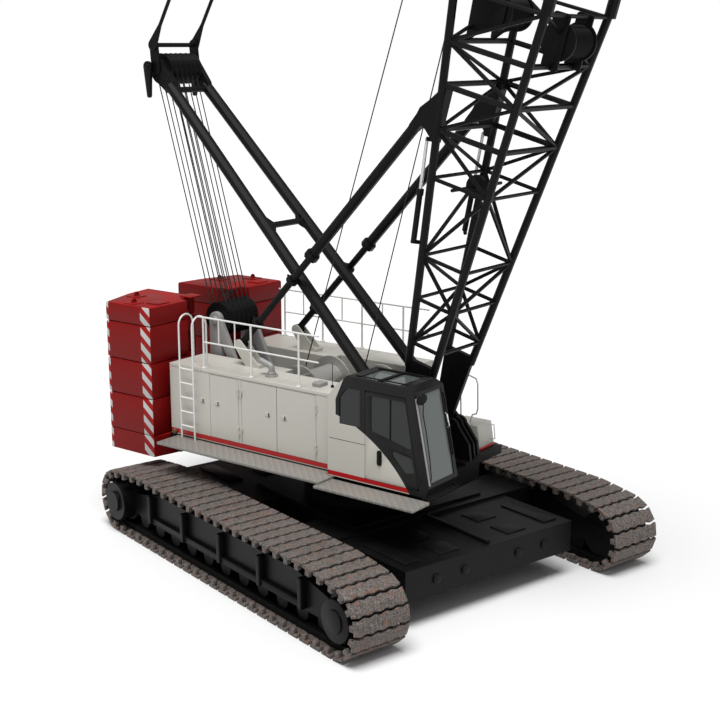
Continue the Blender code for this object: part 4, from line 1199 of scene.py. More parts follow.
@dataclass
class Crawler:
    """The belt of one track with its scalloped shoes.

    Attributes:
        offset: The distance of the belt's middle from the slewing axis.
        width: The shoes' width across the belt.
        pitch: The nominal distance from shoe to shoe.
        gap: The gap between two shoes.
        lobes: The number of scallops along a shoe's edge.
        wave: Half the depth of a scallop.
        rim: The flat at each end of a shoe.
        lug: Half the length, the inner edge from the shoe's end and the depth of its end piece.
        depth: The shoes' thickness.
        belt: How far the chain under the shoes reaches in from their tops.
        half_chain: Half the chain's width.
        wheels: The X, Z and radius of the arcs that the shoes' tops follow.
    """

    offset: float = 2.919
    width: float = 1.12
    pitch: float = 0.304
    gap: float = 0.036
    lobes: int = 5
    wave: float = 0.012
    rim: float = 0.02
    lug: Place = (0.05, 0.10, 0.15)
    depth: float = 0.055
    belt: float = 0.17
    half_chain: float = 0.33
    wheels: tuple[Place, ...] = (
        (3.475, 0.62, 0.62), (2.75, 1.031, 0.30), (-2.75, 1.031, 0.30), (-3.53, 0.62, 0.62))

    def route(self) -> list[tuple[str, tuple, float]]:
        """Lay the belt's outer edge round the wheels.

        Returns:
            The arcs and lines in order, each with its kind, its data and its length.
        """
        following = self.wheels[1:] + self.wheels[:1]
        headings = []
        for first, last in zip(self.wheels, following):
            across, rise = last[0] - first[0], last[1] - first[1]
            lean = math.asin((first[2] - last[2]) / math.hypot(across, rise))
            headings.append(math.atan2(rise, across) - math.pi / 2 + lean)
        path = []
        for number, (wheel, other) in enumerate(zip(self.wheels, following)):
            enter, leave = headings[number - 1], headings[number]
            path.append(("arc", (*wheel, enter), (leave - enter) % (2.0 * math.pi) * wheel[2]))
            ends = [Vector((x + radius * math.cos(leave), z + radius * math.sin(leave)))
                    for x, z, radius in (wheel, other)]
            path.append(("line", (*ends, leave), (ends[1] - ends[0]).length))
        return path

    def point(self, path: list, distance: float, inset: float) -> Point:
        """Find one place on the belt.

        Args:
            path: The belt's arcs and lines.
            distance: The distance round it.
            inset: How far in from its outer edge.

        Returns:
            The place's X and Z.
        """
        distance %= sum(length for kind, data, length in path)
        for kind, data, length in path:
            if distance <= length:
                break
            distance -= length
        if kind == "arc":
            x, z, radius, enter = data
            turn = enter + distance / radius
            return x + (radius - inset) * math.cos(turn), z + (radius - inset) * math.sin(turn)
        start, end, turn = data
        at = start.lerp(end, distance / length)
        return at.x - inset * math.cos(turn), at.y - inset * math.sin(turn)

    def shoe(self, pitch: float) -> Thing:
        """Model one shoe about the origin, along X and across Y, with its top at Z zero.

        Args:
            pitch: The distance from shoe to shoe.

        Returns:
            The shoe.
        """
        half = self.width / 2.0
        reach = (pitch - self.gap) / 2.0 - self.wave
        steps = 8 * self.lobes
        shares = [step / steps for step in range(steps + 1)]
        edge = [self.rim - half + (self.width - 2.0 * self.rim) * share for share in shares]
        wave = [self.wave * math.cos(2.0 * math.pi * self.lobes * share) for share in shares]
        outline = [(reach + bulge, y) for y, bulge in zip(edge, wave)]
        outline += [(bulge - reach, y) for y, bulge in reversed(list(zip(edge, wave)))]
        parts = [slab("shoe_plate", [outline], -self.depth, 0.0, "z", 0.010)]
        length, inner, deep = self.lug
        for side in Side:
            low, high = span(side.value, half - inner, half - self.rim)
            top = 0.01 - self.depth
            parts.append(block("shoe_end", (-length, low, -deep), (length, high, top), 0.008))
        return joined("shoe", parts)

    def build(self, site: Site, side: Side) -> None:
        """Lay the shoes round the belt and replace the plain track.

        Args:
            site: Where the crane stands.
            side: The side of the machine.
        """
        name = side.word
        path = self.route()
        total = sum(length for kind, data, length in path)
        count = round(total / self.pitch)
        pitch = total / count
        model = self.shoe(pitch)
        middle = side.value * self.offset
        shoes = []
        for number in range(count):
            first = self.point(path, number * pitch + self.gap / 2.0, 0.0)
            last = self.point(path, (number + 1) * pitch - self.gap / 2.0, 0.0)
            heading = math.atan2(last[1] - first[1], last[0] - first[0])
            at = ((first[0] + last[0]) / 2.0, middle, (first[1] + last[1]) / 2.0)
            shoes.append(copied(model, at, (math.pi, -heading, 0.0)))
        bpy.data.objects.remove(model, do_unlink=True)
        ring = joined("track_shoes_" + name, shoes)
        site.fit(ring, "lower", "shoe", 30.0, lower=True)
        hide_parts("track_" + name)
        outer, inner = ([self.point(path, total * step / 120.0, inset) for step in range(120)]
                        for inset in (self.depth, self.belt))
        sides = middle - self.half_chain, middle + self.half_chain
        chain = slab("track_chain_" + name, [outer, inner], *sides)
        site.fit(chain, "lower", "dark", 30.0, lower=True)


@dataclass
class Weights:
    """The stacked counterweight slabs with soft edges, lifting lugs and grips.

    Attributes:
        outline: A slab's corners from above, on the left side.
        soft: The width of its soft edges.
        seam: Half the gap between two slabs.
        levels: The levels of the slabs' faces.
        lugs: The places of the lifting lugs on the top slab.
        keys: The Y of the two key plates on it, and their middle X and half length.
        grips: The levels of the ring grips.
        grip_at: The X and Y of their middle.
    """

    outline: tuple[Point, ...] = (
        (-3.71, 1.918), (-4.90, 1.918), (-5.18, 1.08), (-5.27, 0.435), (-3.97, 0.435),
        (-3.97, 0.825), (-3.71, 0.90))
    soft: float = 0.035
    seam: float = 0.001
    levels: tuple[float, ...] = (1.908, 2.643, 3.339, 4.065, 4.432)
    lugs: tuple[Point, ...] = ((-4.80, 1.20), (-4.33, 1.72))
    keys: tuple[Point, Point] = ((0.55, 1.45), (-3.95, 0.15))
    grips: tuple[float, ...] = (2.25, 3.0, 3.70, 4.25)
    grip_at: Point = (-3.955, 0.66)

    def build(self, site: Site, side: Side) -> None:
        """Replace each slab by one with soft edges, and set lugs and grips on them.

        Args:
            site: Where the crane stands.
            side: The side of the machine.
        """
        name = side.word
        outline = [(x, side.value * y) for x, y in self.outline]
        for number, (low, high) in enumerate(zip(self.levels, self.levels[1:])):
            label = "stack_%s_%d" % (name, number + 1)
            piece = slab(label, [outline], low + self.seam, high - self.seam, "z", self.soft)
            site.fit(piece, "upper", "weight", 25.0)
            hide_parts("slab_%s_%d" % (name, number + 1))
        top = self.levels[-1]
        under, eye = top - 0.01, top + 0.045
        parts = []
        for x, y in self.lugs:
            y *= side.value
            ear = [(y - 0.10, under), (y + 0.10, under)] + arc((y, eye), 0.05, 0.0, 180.0)
            hole = arc((y, eye), 0.02, 0.0, 330.0, 11)
            parts.append(slab("lug", [ear, hole], x - 0.02, x + 0.02, "x", 0.004))
            parts.append(plate_at("lug_pad", (x, y), (0.14, 0.14), (under, top + 0.012), 0.006))
        x, half = self.keys[1]
        for y in (side.value * out for out in self.keys[0]):
            parts.append(plate_at("key", (x, y), (half, 0.16), (under, top + 0.02), 0.008))
        site.fit(joined("stack_lugs_" + name, parts), "upper", "weight")
        x, y = self.grip_at
        turns = [step * math.pi / 6 for step in range(12)]
        for number, z in enumerate(self.grips):
            ring = [(x, side.value * (y + 0.04 * math.cos(turn)), z + 0.07 * math.sin(turn))
                    for turn in turns]
            grip = site.fit(tube("grip", ring, 0.012, True, 1), "upper", "dark")
            grip.name = "stack_grip_%s_%d" % (name, number + 1)


@dataclass
class HouseTrim:
    """Latches, roof seams and joints, exhaust, cap, hook, lamp and aerial of the machinery houses.

    Attributes:
        face: The Y of the houses' sides, taken without its sign.
        latches: The X of each latch and the number of its door.
        latch_z: The latches' level.
        seam: The rear end, the front end, the bottom and the top of the seam under the roof, shaded
            cream as painted shade.
        joints: The X of the joints across the roof.
        joint: The inner and the outer end of a joint.
        exhaust: The exhaust's X and Y.
        cap: The X and Z of the brown cap on the right side.
    """

    face: float = 1.60
    latches: tuple = ((-2.70, 1), (-2.32, 2), (-1.07, 3), (-0.69, 4))
    latch_z: float = 2.735
    seam: tuple[float, ...] = (-3.50, 0.30, 3.292, 3.300)
    joints: Place = (-2.52, -1.76, -0.87)
    joint: Point = (0.62, 1.585)
    exhaust: Point = (-1.29, -1.23)
    cap: Point = (-3.43, 2.01)

    def latch(self, name: str, x: float, side: Side) -> list[Thing]:
        """Model one flush latch.

        Args:
            name: The first part of its pieces' names.
            x: The X of its middle.
            side: The side of the machine.

        Returns:
            Its frame and its black grip.
        """
        y, z = side.value * self.face, self.latch_z
        frame = plate_at(name + "_frame", (x, y), (0.055, 0.008), (z - 0.045, z + 0.045), 0.004)
        grip = plate_at(name + "_grip", (x + 0.024, y), (0.012, 0.016), (z - 0.04, z + 0.04), 0.004)
        return [frame, grip]

    def build_sides(self, site: Site) -> None:
        """Set the latches, the seams and the roof joints.

        Args:
            site: Where the crane stands.
        """
        rear, front, bottom, top = self.seam
        for side in Side:
            word = side.word
            for x, door in self.latches:
                fixed = door == 1 and side is Side.RIGHT
                body = "upper" if fixed else "house_door_%s_%d" % (word, door)
                frame, grip = self.latch("latch_%s_%d" % (word, door), x, side)
                site.fit(frame, body, "plain")
                site.fit(grip, body, "dark")
            face = side.value * self.face
            low, high = (rear, face - 0.004, bottom), (front, face + 0.003, top)
            # The seam under the roof is a strip of shaded cream: painted shade under the roof's
            # edge.
            seam_shade = block("roof_seam_" + word, low, high)
            site.fit(seam_shade, "upper", "shade")
            inner, outer = (side.value * end for end in self.joint)
            for number, x in enumerate(self.joints):
                name = "roof_joint_%s_%d" % (word, number + 1)
                low, high = (x - 0.008, inner, ROOF - 0.004), (x + 0.008, outer, ROOF + 0.004)
                strip = block(name, low, high, 0.002)
                site.fit(strip, "upper", "plain")

    def build(self, site: Site) -> None:
        """Set every fitting on the houses.

        Args:
            site: Where the crane stands.
        """
        self.build_sides(site)
        x, y = self.exhaust
        under = ROOF - 0.01
        bend = [(x + a, y, ROOF + 0.14 + b) for a, b in arc((-0.06, 0.0), 0.06, 0.0, 70.0, 6)]
        pipe = [(x, y, ROOF), *bend, (x - 0.27, y, ROOF + 0.26)]
        stack = [drum("base", (x, y, under), (x, y, ROOF + 0.03), 0.12, 0.008),
                 drum("collar", (x, y, ROOF), (x, y, ROOF + 0.08), 0.085, 0.01),
                 tube("elbow", pipe, 0.058, fineness=5)]
        site.fit(joined("exhaust", stack), "upper", "grey", 45.0)
        x, z = self.cap
        site.fit(drum("rear_cap", (x, -1.595, z), (x, -1.66, z), 0.05, 0.01), "upper", "brown")
        bend = [(-3.40, 1.91), (-3.40, 1.70), (-3.38, 1.66), (-3.33, 1.67)]
        site.fit(tube("rear_hook", [(x, -1.95, z) for x, z in bend], 0.010), "upper", "dark")
        ends = ((x, -1.24, ROOF + 0.035) for x in (-0.27, -0.23))
        lamp = [block("lamp", (-0.24, -1.36, under), (-0.06, -1.12, ROOF + 0.07), 0.015),
                drum("lamp_eye", *ends, 0.035, 0.005)]
        site.fit(joined("roof_lamp", lamp), "upper", "grey")
        aerial = [drum("foot", (0.10, -1.20, under), (0.10, -1.20, ROOF + 0.04), 0.03, 0.006),
                  drum("whip", (0.10, -1.20, ROOF), (0.10, -1.20, ROOF + 0.45), 0.006, sides=8)]
        site.fit(joined("aerial", aerial), "upper", "dark")


@dataclass
class Railings:
    """The right-hand roof railing with its ladder and two hoops, and the left-hand one.

    Attributes:
        top: The level of the upper rail.
        middle: The level of the middle rail.
        outer: The Y of the ladder.
        hoop: The radius of a hoop.
        ladder: The X of the ladder's two stiles.
        rungs: The lowest rung's level, the distance between rungs, and their number.
        radius: The upper rails' radius.
        runs: Each railing's Y, its two ends, its posts and its short posts.
    """

    top: float = 4.33
    middle: float = 3.86
    outer: float = -1.71
    hoop: float = 0.19
    ladder: Point = (-3.16, -2.82)
    rungs: tuple = (2.20, 0.28, 5)
    radius: float = 0.018
    runs: tuple = ((-1.55, -2.82, 0.07, (-2.68, -1.50, -0.38), (-2.29, -1.89)),
                   (1.55, -3.45, 0.30, (-3.30, -2.30, -1.30, -0.30), (-2.8, -1.8, -0.8)))

    def build(self, site: Site) -> None:
        """Replace the plain railings.

        Args:
            site: Where the crane stands.
        """
        outer, top, middle = self.outer, self.top, self.middle
        crown = arc((outer + self.hoop, top - self.hoop), self.hoop, 180.0, 0.0)
        bars = []
        for x in self.ladder:
            bend = [(outer, DECK), *crown, (outer + 2.0 * self.hoop, ROOF)]
            stile = [(x, y, z) for y, z in bend]
            bars.append(tube("hoop", stile, self.radius))
        lowest, rise, count = self.rungs
        for number in range(count):
            z = lowest + rise * number
            bars.append(tube("rung", [(x, outer, z) for x in self.ladder], 0.017))
        for y, first, last, posts, thin in self.runs:
            bars.append(tube("rail", [(first, y, top), (last, y, top)], self.radius))
            bars.append(tube("rail", [(posts[0], y, middle), (last, y, middle)], 0.016))
            for x in posts:
                bars.append(tube("post", [(x, y, ROOF), (x, y, top)], self.radius + 0.002))
                bars.append(drum("foot", (x, y, ROOF - 0.002), (x, y, ROOF + 0.03), 0.045, 0.008))
            for x in thin:
                bars.append(tube("post", [(x, y, middle), (x, y, top)], 0.014))
        rails = joined("railings", bars)
        site.fit(rails, "upper", "white")
        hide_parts("handrail_right", "handrail_left")


@dataclass
class Walkways:
    """The tread plates along both sides, stepped down beside the cab.

    Attributes:
        plates: Each plate's name, its rear and front X, its outer and inner Y and its top.
        depth: The plates' thickness.
        holders: The X of the brackets under them.
    """

    plates: tuple = (("rear", -3.357, 0.56, -2.20, -1.622, DECK),
                     ("front", 0.52, 2.60, -2.30, -1.79, 1.900),
                     ("left", -3.357, 0.40, 2.20, 1.622, DECK))
    depth: float = 0.045
    holders: Place = (-2.9, -1.7, -0.5)

    def build(self, site: Site) -> None:
        """Replace the plain catwalks and set the brackets under them.

        Args:
            site: Where the crane stands.
        """
        for name, back, front, outer, inner, top in self.plates:
            outline = [(back, outer), (front, outer), (front, inner), (back, inner)]
            outline = rounded(outline, 0.02)
            plate = slab("walkway_" + name, [outline], top - self.depth, top, "z", 0.004)
            site.fit(plate, "upper", "tread")
            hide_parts("catwalk_left" if name == "left" else "catwalk_right")
        parts = []
        for x in self.holders:
            for side in (Side.RIGHT, Side.LEFT):
                low, high = span(side.value, 1.40, 2.05)
                parts.append(block("holder", (x - 0.04, low, 1.80), (x + 0.04, high, 1.902), 0.006))
        parts.append(block("holder", (0.40, -2.10, 1.78), (2.45, -1.60, 1.858), 0.01))
        site.fit(joined("walkway_holders", parts), "upper", "black")


@dataclass
class CabTrim:
    """The cab's door with its two windows, pillar strip, mirror, wiper, grips and roof guard.

    Attributes:
        foot: The X and Z of the slanted front's lower end.
        slope: How far the front leans back for each metre of height.
        leaf: The door's corners.
        window: The corners of its window.
        pane: The corners of the small pane under it.
        corner: The radius of all their corners.
        arm: The Z and Y of the mirror's arm, and its distance from the front.
        bars: The name, the finish, the upper and lower end and the distance from the front of
            the wiper and the grip.
    """

    foot: Point = (2.57, 2.12)
    slope: float = 0.209
    leaf: tuple[Point, ...] = ((1.256, 2.046), (2.372, 2.046), (2.075, 3.594), (1.256, 3.594))
    window: tuple[Point, ...] = ((1.37, 3.52), (2.07, 3.52), (2.215, 2.71), (1.37, 2.91))
    pane: tuple[Point, ...] = ((1.72, 2.66), (2.21, 2.58), (2.28, 2.33), (2.08, 2.29))
    corner: float = 0.05
    arm: tuple[Place, ...] = (
        (3.60, -1.66, 0.07), (3.48, -1.64, 0.06), (3.35, -1.66, 0.04), (3.0, -1.64, 0.03),
        (2.6, -1.66, 0.03), (2.30, -1.70, 0.03), (2.18, -1.72, 0.0))
    bars: tuple = (("wiper", "dark", 3.56, 2.50, 0.02), ("front_grip", "white", 3.22, 2.96, 0.022))

    def front(self, z: float, out: float = 0.0) -> float:
        """Return the X of the slanted front at one height, moved out by a distance."""
        return self.foot[0] - self.slope * (z - self.foot[1]) + out

    def build_door(self, site: Site) -> None:
        """Replace the plain door by one with a window above and a pane below.

        Args:
            site: Where the crane stands.
        """
        outlines = (self.leaf, self.window, self.pane)
        leaf, window, pane = (rounded(outline, self.corner) for outline in outlines)
        door = slab("door_leaf", [leaf, window, pane], -1.782, -1.742, "y", 0.006)
        site.fit(door, "cab_door", "cab")
        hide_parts("cab_door", "door_glass")
        for name, outline in (("window", window), ("pane", pane)):
            site.fit(slab("door_" + name, [outline], -1.766, -1.758), "cab_door", "glass")
        divider = block("door_divider", (1.755, -1.775, 2.80), (1.785, -1.750, 3.525), 0.004)
        site.fit(divider, "cab_door", "dark")
        grip = tube("door_grip", [(1.56, -1.81, 2.39), (1.56, -1.81, 2.54)], 0.022, fineness=4)
        outline = rounded([(1.51, 2.33), (1.61, 2.33), (1.61, 2.60), (1.51, 2.60)], 0.045)
        plate = slab("door_grip_plate", [outline], -1.80, -1.780, "y", 0.006)
        site.fit(joined("door_handle", [plate, grip]), "cab_door", "dark")

    def build(self, site: Site) -> None:
        """Set every fitting of the cab.

        Args:
            site: Where the crane stands.
        """
        self.build_door(site)
        outline = [(-1.765, 0.04), (-1.715, 0.04), (-1.715, 1.52), (-1.765, 1.52)]
        strip = slab("pillar_strip", [outline], -0.006, 0.006, "x", 0.003)
        strip.rotation_euler = (0.0, -math.atan(self.slope), 0.0)
        strip.location = (self.foot[0] + 0.002, 0.0, self.foot[1])
        site.fit(settle(strip), "upper", "grey")
        arm = tube("mirror_arm", [(self.front(z, out), y, z) for z, y, out in self.arm], 0.009)
        ends = (self.front(3.60, 0.05), -1.66, 3.60), (self.front(3.60, 0.09), -1.67, 3.59)
        site.fit(joined("mirror", [drum("mirror_head", *ends, 0.105, 0.012), arm]), "upper", "dark")
        for name, look, top, bottom, out in self.bars:
            bend = ((top, 0.0, -0.96), (top - 0.03, out, -0.96),
                    (bottom + 0.03, out, -0.955), (bottom, 0.0, -0.955))
            bar = tube(name, [(self.front(z, gap), y, z) for z, gap, y in bend], 0.014)
            site.fit(bar, "upper", look)
        roof = [tube("roof_bar", [(0.98, y, 3.795), (2.06, y, 3.795)], 0.012)
                for y in (-1.66, -1.02)]
        roof.append(block("roof_beam", (1.44, -1.70, 3.755), (1.52, -0.97, 3.79), 0.008))
        site.fit(joined("roof_guard", roof), "upper", "dark")
        bend = [(2.50, -1.74, 1.98), (2.62, -1.74, 1.96), (2.62, -0.95, 1.96), (2.50, -0.95, 1.98)]
        site.fit(tube("cab_front_bar", bend, 0.016), "upper", "dark")


@dataclass
class ToolBox:
    """The cream box with the red chin on the left of the nose.

    Attributes:
        span: The Y of the box's two sides.
        body: The box's corners from the side.
        chin: The red chin's corners.
        grip: The points of its white grip.
        rail: The points of the grab rail on it.
    """

    span: Point = (1.03, 1.53)
    body: tuple[Point, ...] = (
        (1.19, DECK), (1.19, 2.40), (1.75, 2.40), (1.82, 1.98), (1.78, 1.90), (1.68, 1.90),
        (1.68, DECK))
    chin: tuple[Point, ...] = (
        (1.824, 1.99), (1.80, 1.90), (1.66, 1.90), (1.66, 1.86), (1.79, 1.84), (1.835, 1.96))
    grip: tuple[Place, ...] = (
        (1.77, 1.46, 2.34), (1.84, 1.48, 2.34), (1.87, 1.48, 2.08), (1.81, 1.46, 2.06))
    rail: tuple[Place, ...] = (
        (1.30, 1.18, 2.39), (1.30, 1.14, 3.20), (1.36, 1.12, 3.31), (1.52, 1.10, 3.32),
        (1.66, 1.10, 3.28), (1.70, 1.10, 3.18), (1.70, 1.12, 2.70), (1.66, 1.14, 2.60),
        (1.56, 1.16, 2.56), (1.50, 1.18, 2.39))

    def build(self, site: Site) -> None:
        """Set the box, its bracket, its grip and the grab rail.

        Args:
            site: Where the crane stands.
        """
        site.fit(slab("nose_box", [self.body], *self.span, "y", 0.012), "upper", "plain")
        site.fit(slab("nose_box_chin", [self.chin], *self.span, "y", 0.003), "upper", "stripe")
        bracket = block("nose_box_bracket", (1.15, 0.78, 1.78), (1.66, 1.50, 1.943), 0.012)
        site.fit(bracket, "upper", "black")
        site.fit(tube("nose_box_grip", self.grip, 0.013), "upper", "white")
        site.fit(tube("nose_rail", self.rail, 0.014), "upper", "white")


@dataclass
class BoomFittings:
    """The two winch drums, the damping cylinders and the guide sheave in the boom's base.

    Attributes:
        winches: Each winch's row, its place along the boom and in front of its middle, and the
            corners of its side plates in the same two distances.
        half: Half a drum's length.
        flange: A drum's radius and the thickness of its flanges.
        turns: The radius on and between the rope's turns.
        ridges: The number of steps from one flange to the other.
        plate: The inner and outer Y of the side plates.
        damper: The head, the joint and the foot of the left damping cylinder.
        eyes: The inner and outer end of its two eyes.
        sheave: The guide sheave's place along the boom and in front of its middle.
        axle: Half its axle's length.
    """

    winches: tuple = (
        ("front", 7.575, 0.80, ((7.12, 0.62), (8.02, 0.62), (8.02, 0.93), (7.12, 0.93))),
        ("rear", 7.73, -0.42, ((7.12, -0.82), (8.03, -0.88), (8.0, -0.5), (7.9, -0.22),
                               (7.55, -0.22), (7.35, -0.6))))
    half: float = 0.36
    flange: Point = (0.31, 0.03)
    turns: Point = (0.26, 0.24)
    ridges: int = 42
    plate: Point = (0.365, 0.395)
    damper: tuple[Place, ...] = ((5.55, 0.87, -0.80), (4.71, 0.84, -0.72), (3.80, 0.80, -0.64))
    eyes: tuple = (((3.80, 0.70, -0.56), (3.80, 0.84, -0.66)),
                   ((5.55, 0.83, -0.72), (5.55, 0.90, -0.80)))
    sheave: Point = (4.86, -0.16)
    axle: float = 0.78

    def profile(self) -> list[Point]:
        """Draw the outline of a wound drum as (Y, radius) points.

        Returns:
            The points from its right end to its left one.
        """
        rim, thick = self.flange
        inner = self.half - thick
        crest, groove = self.turns
        winding = [(2.0 * inner * step / self.ridges - inner, crest if step % 2 else groove)
                   for step in range(1, self.ridges)]
        return [(-self.half, 0.0), (-self.half, rim), (-inner, rim), (-inner, crest), *winding,
                (inner, crest), (inner, rim), (self.half, rim), (self.half, 0.0)]

    def build(self, site: Site) -> None:
        """Set every fitting in the boom.

        Args:
            site: Where the crane stands.
        """
        for row, along, forward, corners in self.winches:
            x, y, z = on_boom(along, 0.0, forward)
            site.fit(lathe("boom_winch_" + row, (x, z), self.profile()), "boom", "dark", 50.0)
            outline = rounded([on_boom(a, 0.0, b)[::2] for a, b in corners], 0.05)
            for side in Side:
                name = "boom_winch_plate_%s_%s" % (row, side.word)
                plate = slab(name, [outline], *span(side.value, *self.plate), "y", 0.004)
                site.fit(plate, "boom", "black")
        for side in Side:
            out = side.value
            head, joint, foot = (on_boom(a, out * y, v) for a, y, v in self.damper)
            rod = drum("damper_rod_" + side.word, head, joint, 0.030, sides=20)
            site.fit(rod, "boom", "chrome")
            gland = tuple(Vector(joint).lerp(Vector(foot), 0.12))
            parts = [drum("barrel", joint, foot, 0.050, 0.008),
                     drum("gland", joint, gland, 0.062, 0.008)]
            for eye in self.eyes:
                ends = (on_boom(a, out * y, v) for a, y, v in eye)
                parts.append(drum("eye", *ends, 0.035, sides=16))
            site.fit(joined("damper_" + side.word, parts), "boom", "black")
        along, forward = self.sheave
        x, y, z = on_boom(along, 0.0, forward)
        rim = [(-0.04, 0.0), (-0.04, 0.20), (-0.012, 0.17),
               (0.012, 0.17), (0.04, 0.20), (0.04, 0.0)]
        site.fit(lathe("guide_sheave", (x, z), rim), "boom", "dark")
        ends = (on_boom(along, y, forward) for y in (-self.axle, self.axle))
        site.fit(drum("guide_axle", *ends, 0.03, sides=16), "boom", "black")


@dataclass
class Rigging:
    """The falls between gantry and mast, the two hoist ropes, their guide and the mast head's arms.

    Attributes:
        head: The X and Z of the mast head's sheaves.
        gantry: The X and Z of the gantry's sheaves.
        guide: The X and Z of the rope guide at the boom's top.
        hoists: The X and Y where each hoist rope leaves its drum.
        hoist_z: The level where it does.
        falls: The number of falls.
        spread: The distance from the first fall to the last one.
        back: How far a fall lies from the sheaves' middle.
        tubes: The place along the boom and in front of its middle of the guide's cross tubes.
    """

    head: Point = (-4.70, 8.80)
    gantry: Point = (-3.36, 4.02)
    guide: Point = (7.42, 29.85)
    hoists: tuple[Point, ...] = ((-1.44, -0.12), (-0.23, 0.10))
    hoist_z: float = 3.15
    falls: int = 12
    spread: float = 0.72
    back: float = 0.243
    tubes: tuple[Point, ...] = ((28.2, -0.45), (28.75, -0.40))

    def straight(self, site: Site, name: str, ends: tuple[Place, Place]) -> None:
        """Stretch one rope between two bodies.

        Args:
            site: Where the crane stands.
            name: The rope's name.
            ends: Its ends, placed from the slewing axis.
        """
        rope = drum(name, *ends, 0.011, sides=8)
        site.finish(rope, "rope", 60.0)
        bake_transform(rope)

    def build_guide(self, site: Site) -> None:
        """Set the rope guide at the boom's top.

        Args:
            site: Where the crane stands.
        """
        x, z = self.guide
        parts = []
        for _, middle in self.hoists:
            rim = [(-0.035, 0.0), (-0.035, 0.20), (0.0, 0.16), (0.035, 0.20), (0.035, 0.0)]
            parts.append(lathe("sheave", self.guide, [(middle + y, radius) for y, radius in rim]))
        corners = [(x - 0.10, z - 0.10), (x + 0.85, z - 0.45),
                   (x + 0.85, z + 0.10), (x - 0.10, z + 0.10)]
        for y in (-0.20, 0.18):
            parts.append(slab("cheek", [rounded(corners, 0.06)], y - 0.01, y + 0.01, "y", 0.003))
        for along, forward in self.tubes:
            ends = (on_boom(along, y, forward) for y in (-0.62, 0.62))
            parts.append(drum("cross_tube", *ends, 0.04, sides=16))
        site.fit(joined("rope_guide", parts), "boom", "black")

    def build(self, site: Site) -> None:
        """Stretch every rope, set their guide and hang the arms.

        Args:
            site: Where the crane stands.
        """
        for number in range(self.falls):
            y = self.spread * (number / (self.falls - 1.0) - 0.5)
            back = -self.back if number % 2 else self.back
            ends = ((self.gantry[0] + back, y * 0.95, self.gantry[1] + 0.03),
                    (self.head[0] + back, y, self.head[1] - 0.08))
            self.straight(site, "mast_fall_%d" % (number + 1), ends)
        for number, (x, y) in enumerate(self.hoists):
            ends = (x, y, self.hoist_z), (self.guide[0] - 0.16, y, self.guide[1])
            self.straight(site, "hoist_rope_%d" % (number + 1), ends)
        self.build_guide(site)
        outline = arc((-4.84, 8.85), 0.10, 0.0, 180.0) + arc((-4.82, 8.30), 0.045, 180.0, 360.0)
        for side in Side:
            arm = slab("arm", [outline], *span(side.value, 0.60, 0.66), "y", 0.006)
            pin = drum("pin", *((-4.84, side.value * y, 8.85) for y in (0.50, 0.68)), 0.045, 0.006)
            site.fit(joined("mast_arm_" + side.word, [arm, pin]), "mast", "black")


@dataclass
class StopRings:
    """The clamping rings along the backstops' tubes.

    Attributes:
        head: The X and Z of a backstop's upper end.
        foot: The X and Z of its lower end.
        half: Half the distance between the two backstops.
        rings: The distances of the rings from the lower end.
    """

    head: Point = (1.76, 8.14)
    foot: Point = (-2.36, 3.74)
    half: float = 0.85
    rings: Point = (0.62, 1.85)

    def build(self, site: Site) -> None:
        """Set two rings with their bolts on each tube.

        Args:
            site: Where the crane stands.
        """
        start, end = (Vector((x, 0.0, z)) for x, z in (self.foot, self.head))
        along = (end - start).normalized()
        across = along.cross(Vector((0.0, 1.0, 0.0)))
        for side in Side:
            parts = []
            for distance in self.rings:
                middle = start + along * distance + Vector((0.0, side.value * self.half, 0.0))
                ends = (tuple(middle + along * shift) for shift in (-0.035, 0.035))
                parts.append(drum("ring", *ends, 0.115, 0.01))
                ends = (tuple(middle + across * shift) for shift in (0.10, 0.145))
                parts.append(drum("bolt", *ends, 0.022, 0.004, 12))
            rings = joined("backstop_rings_" + side.word, parts)
            site.fit(rings, "backstop_tube_" + side.word, "black")


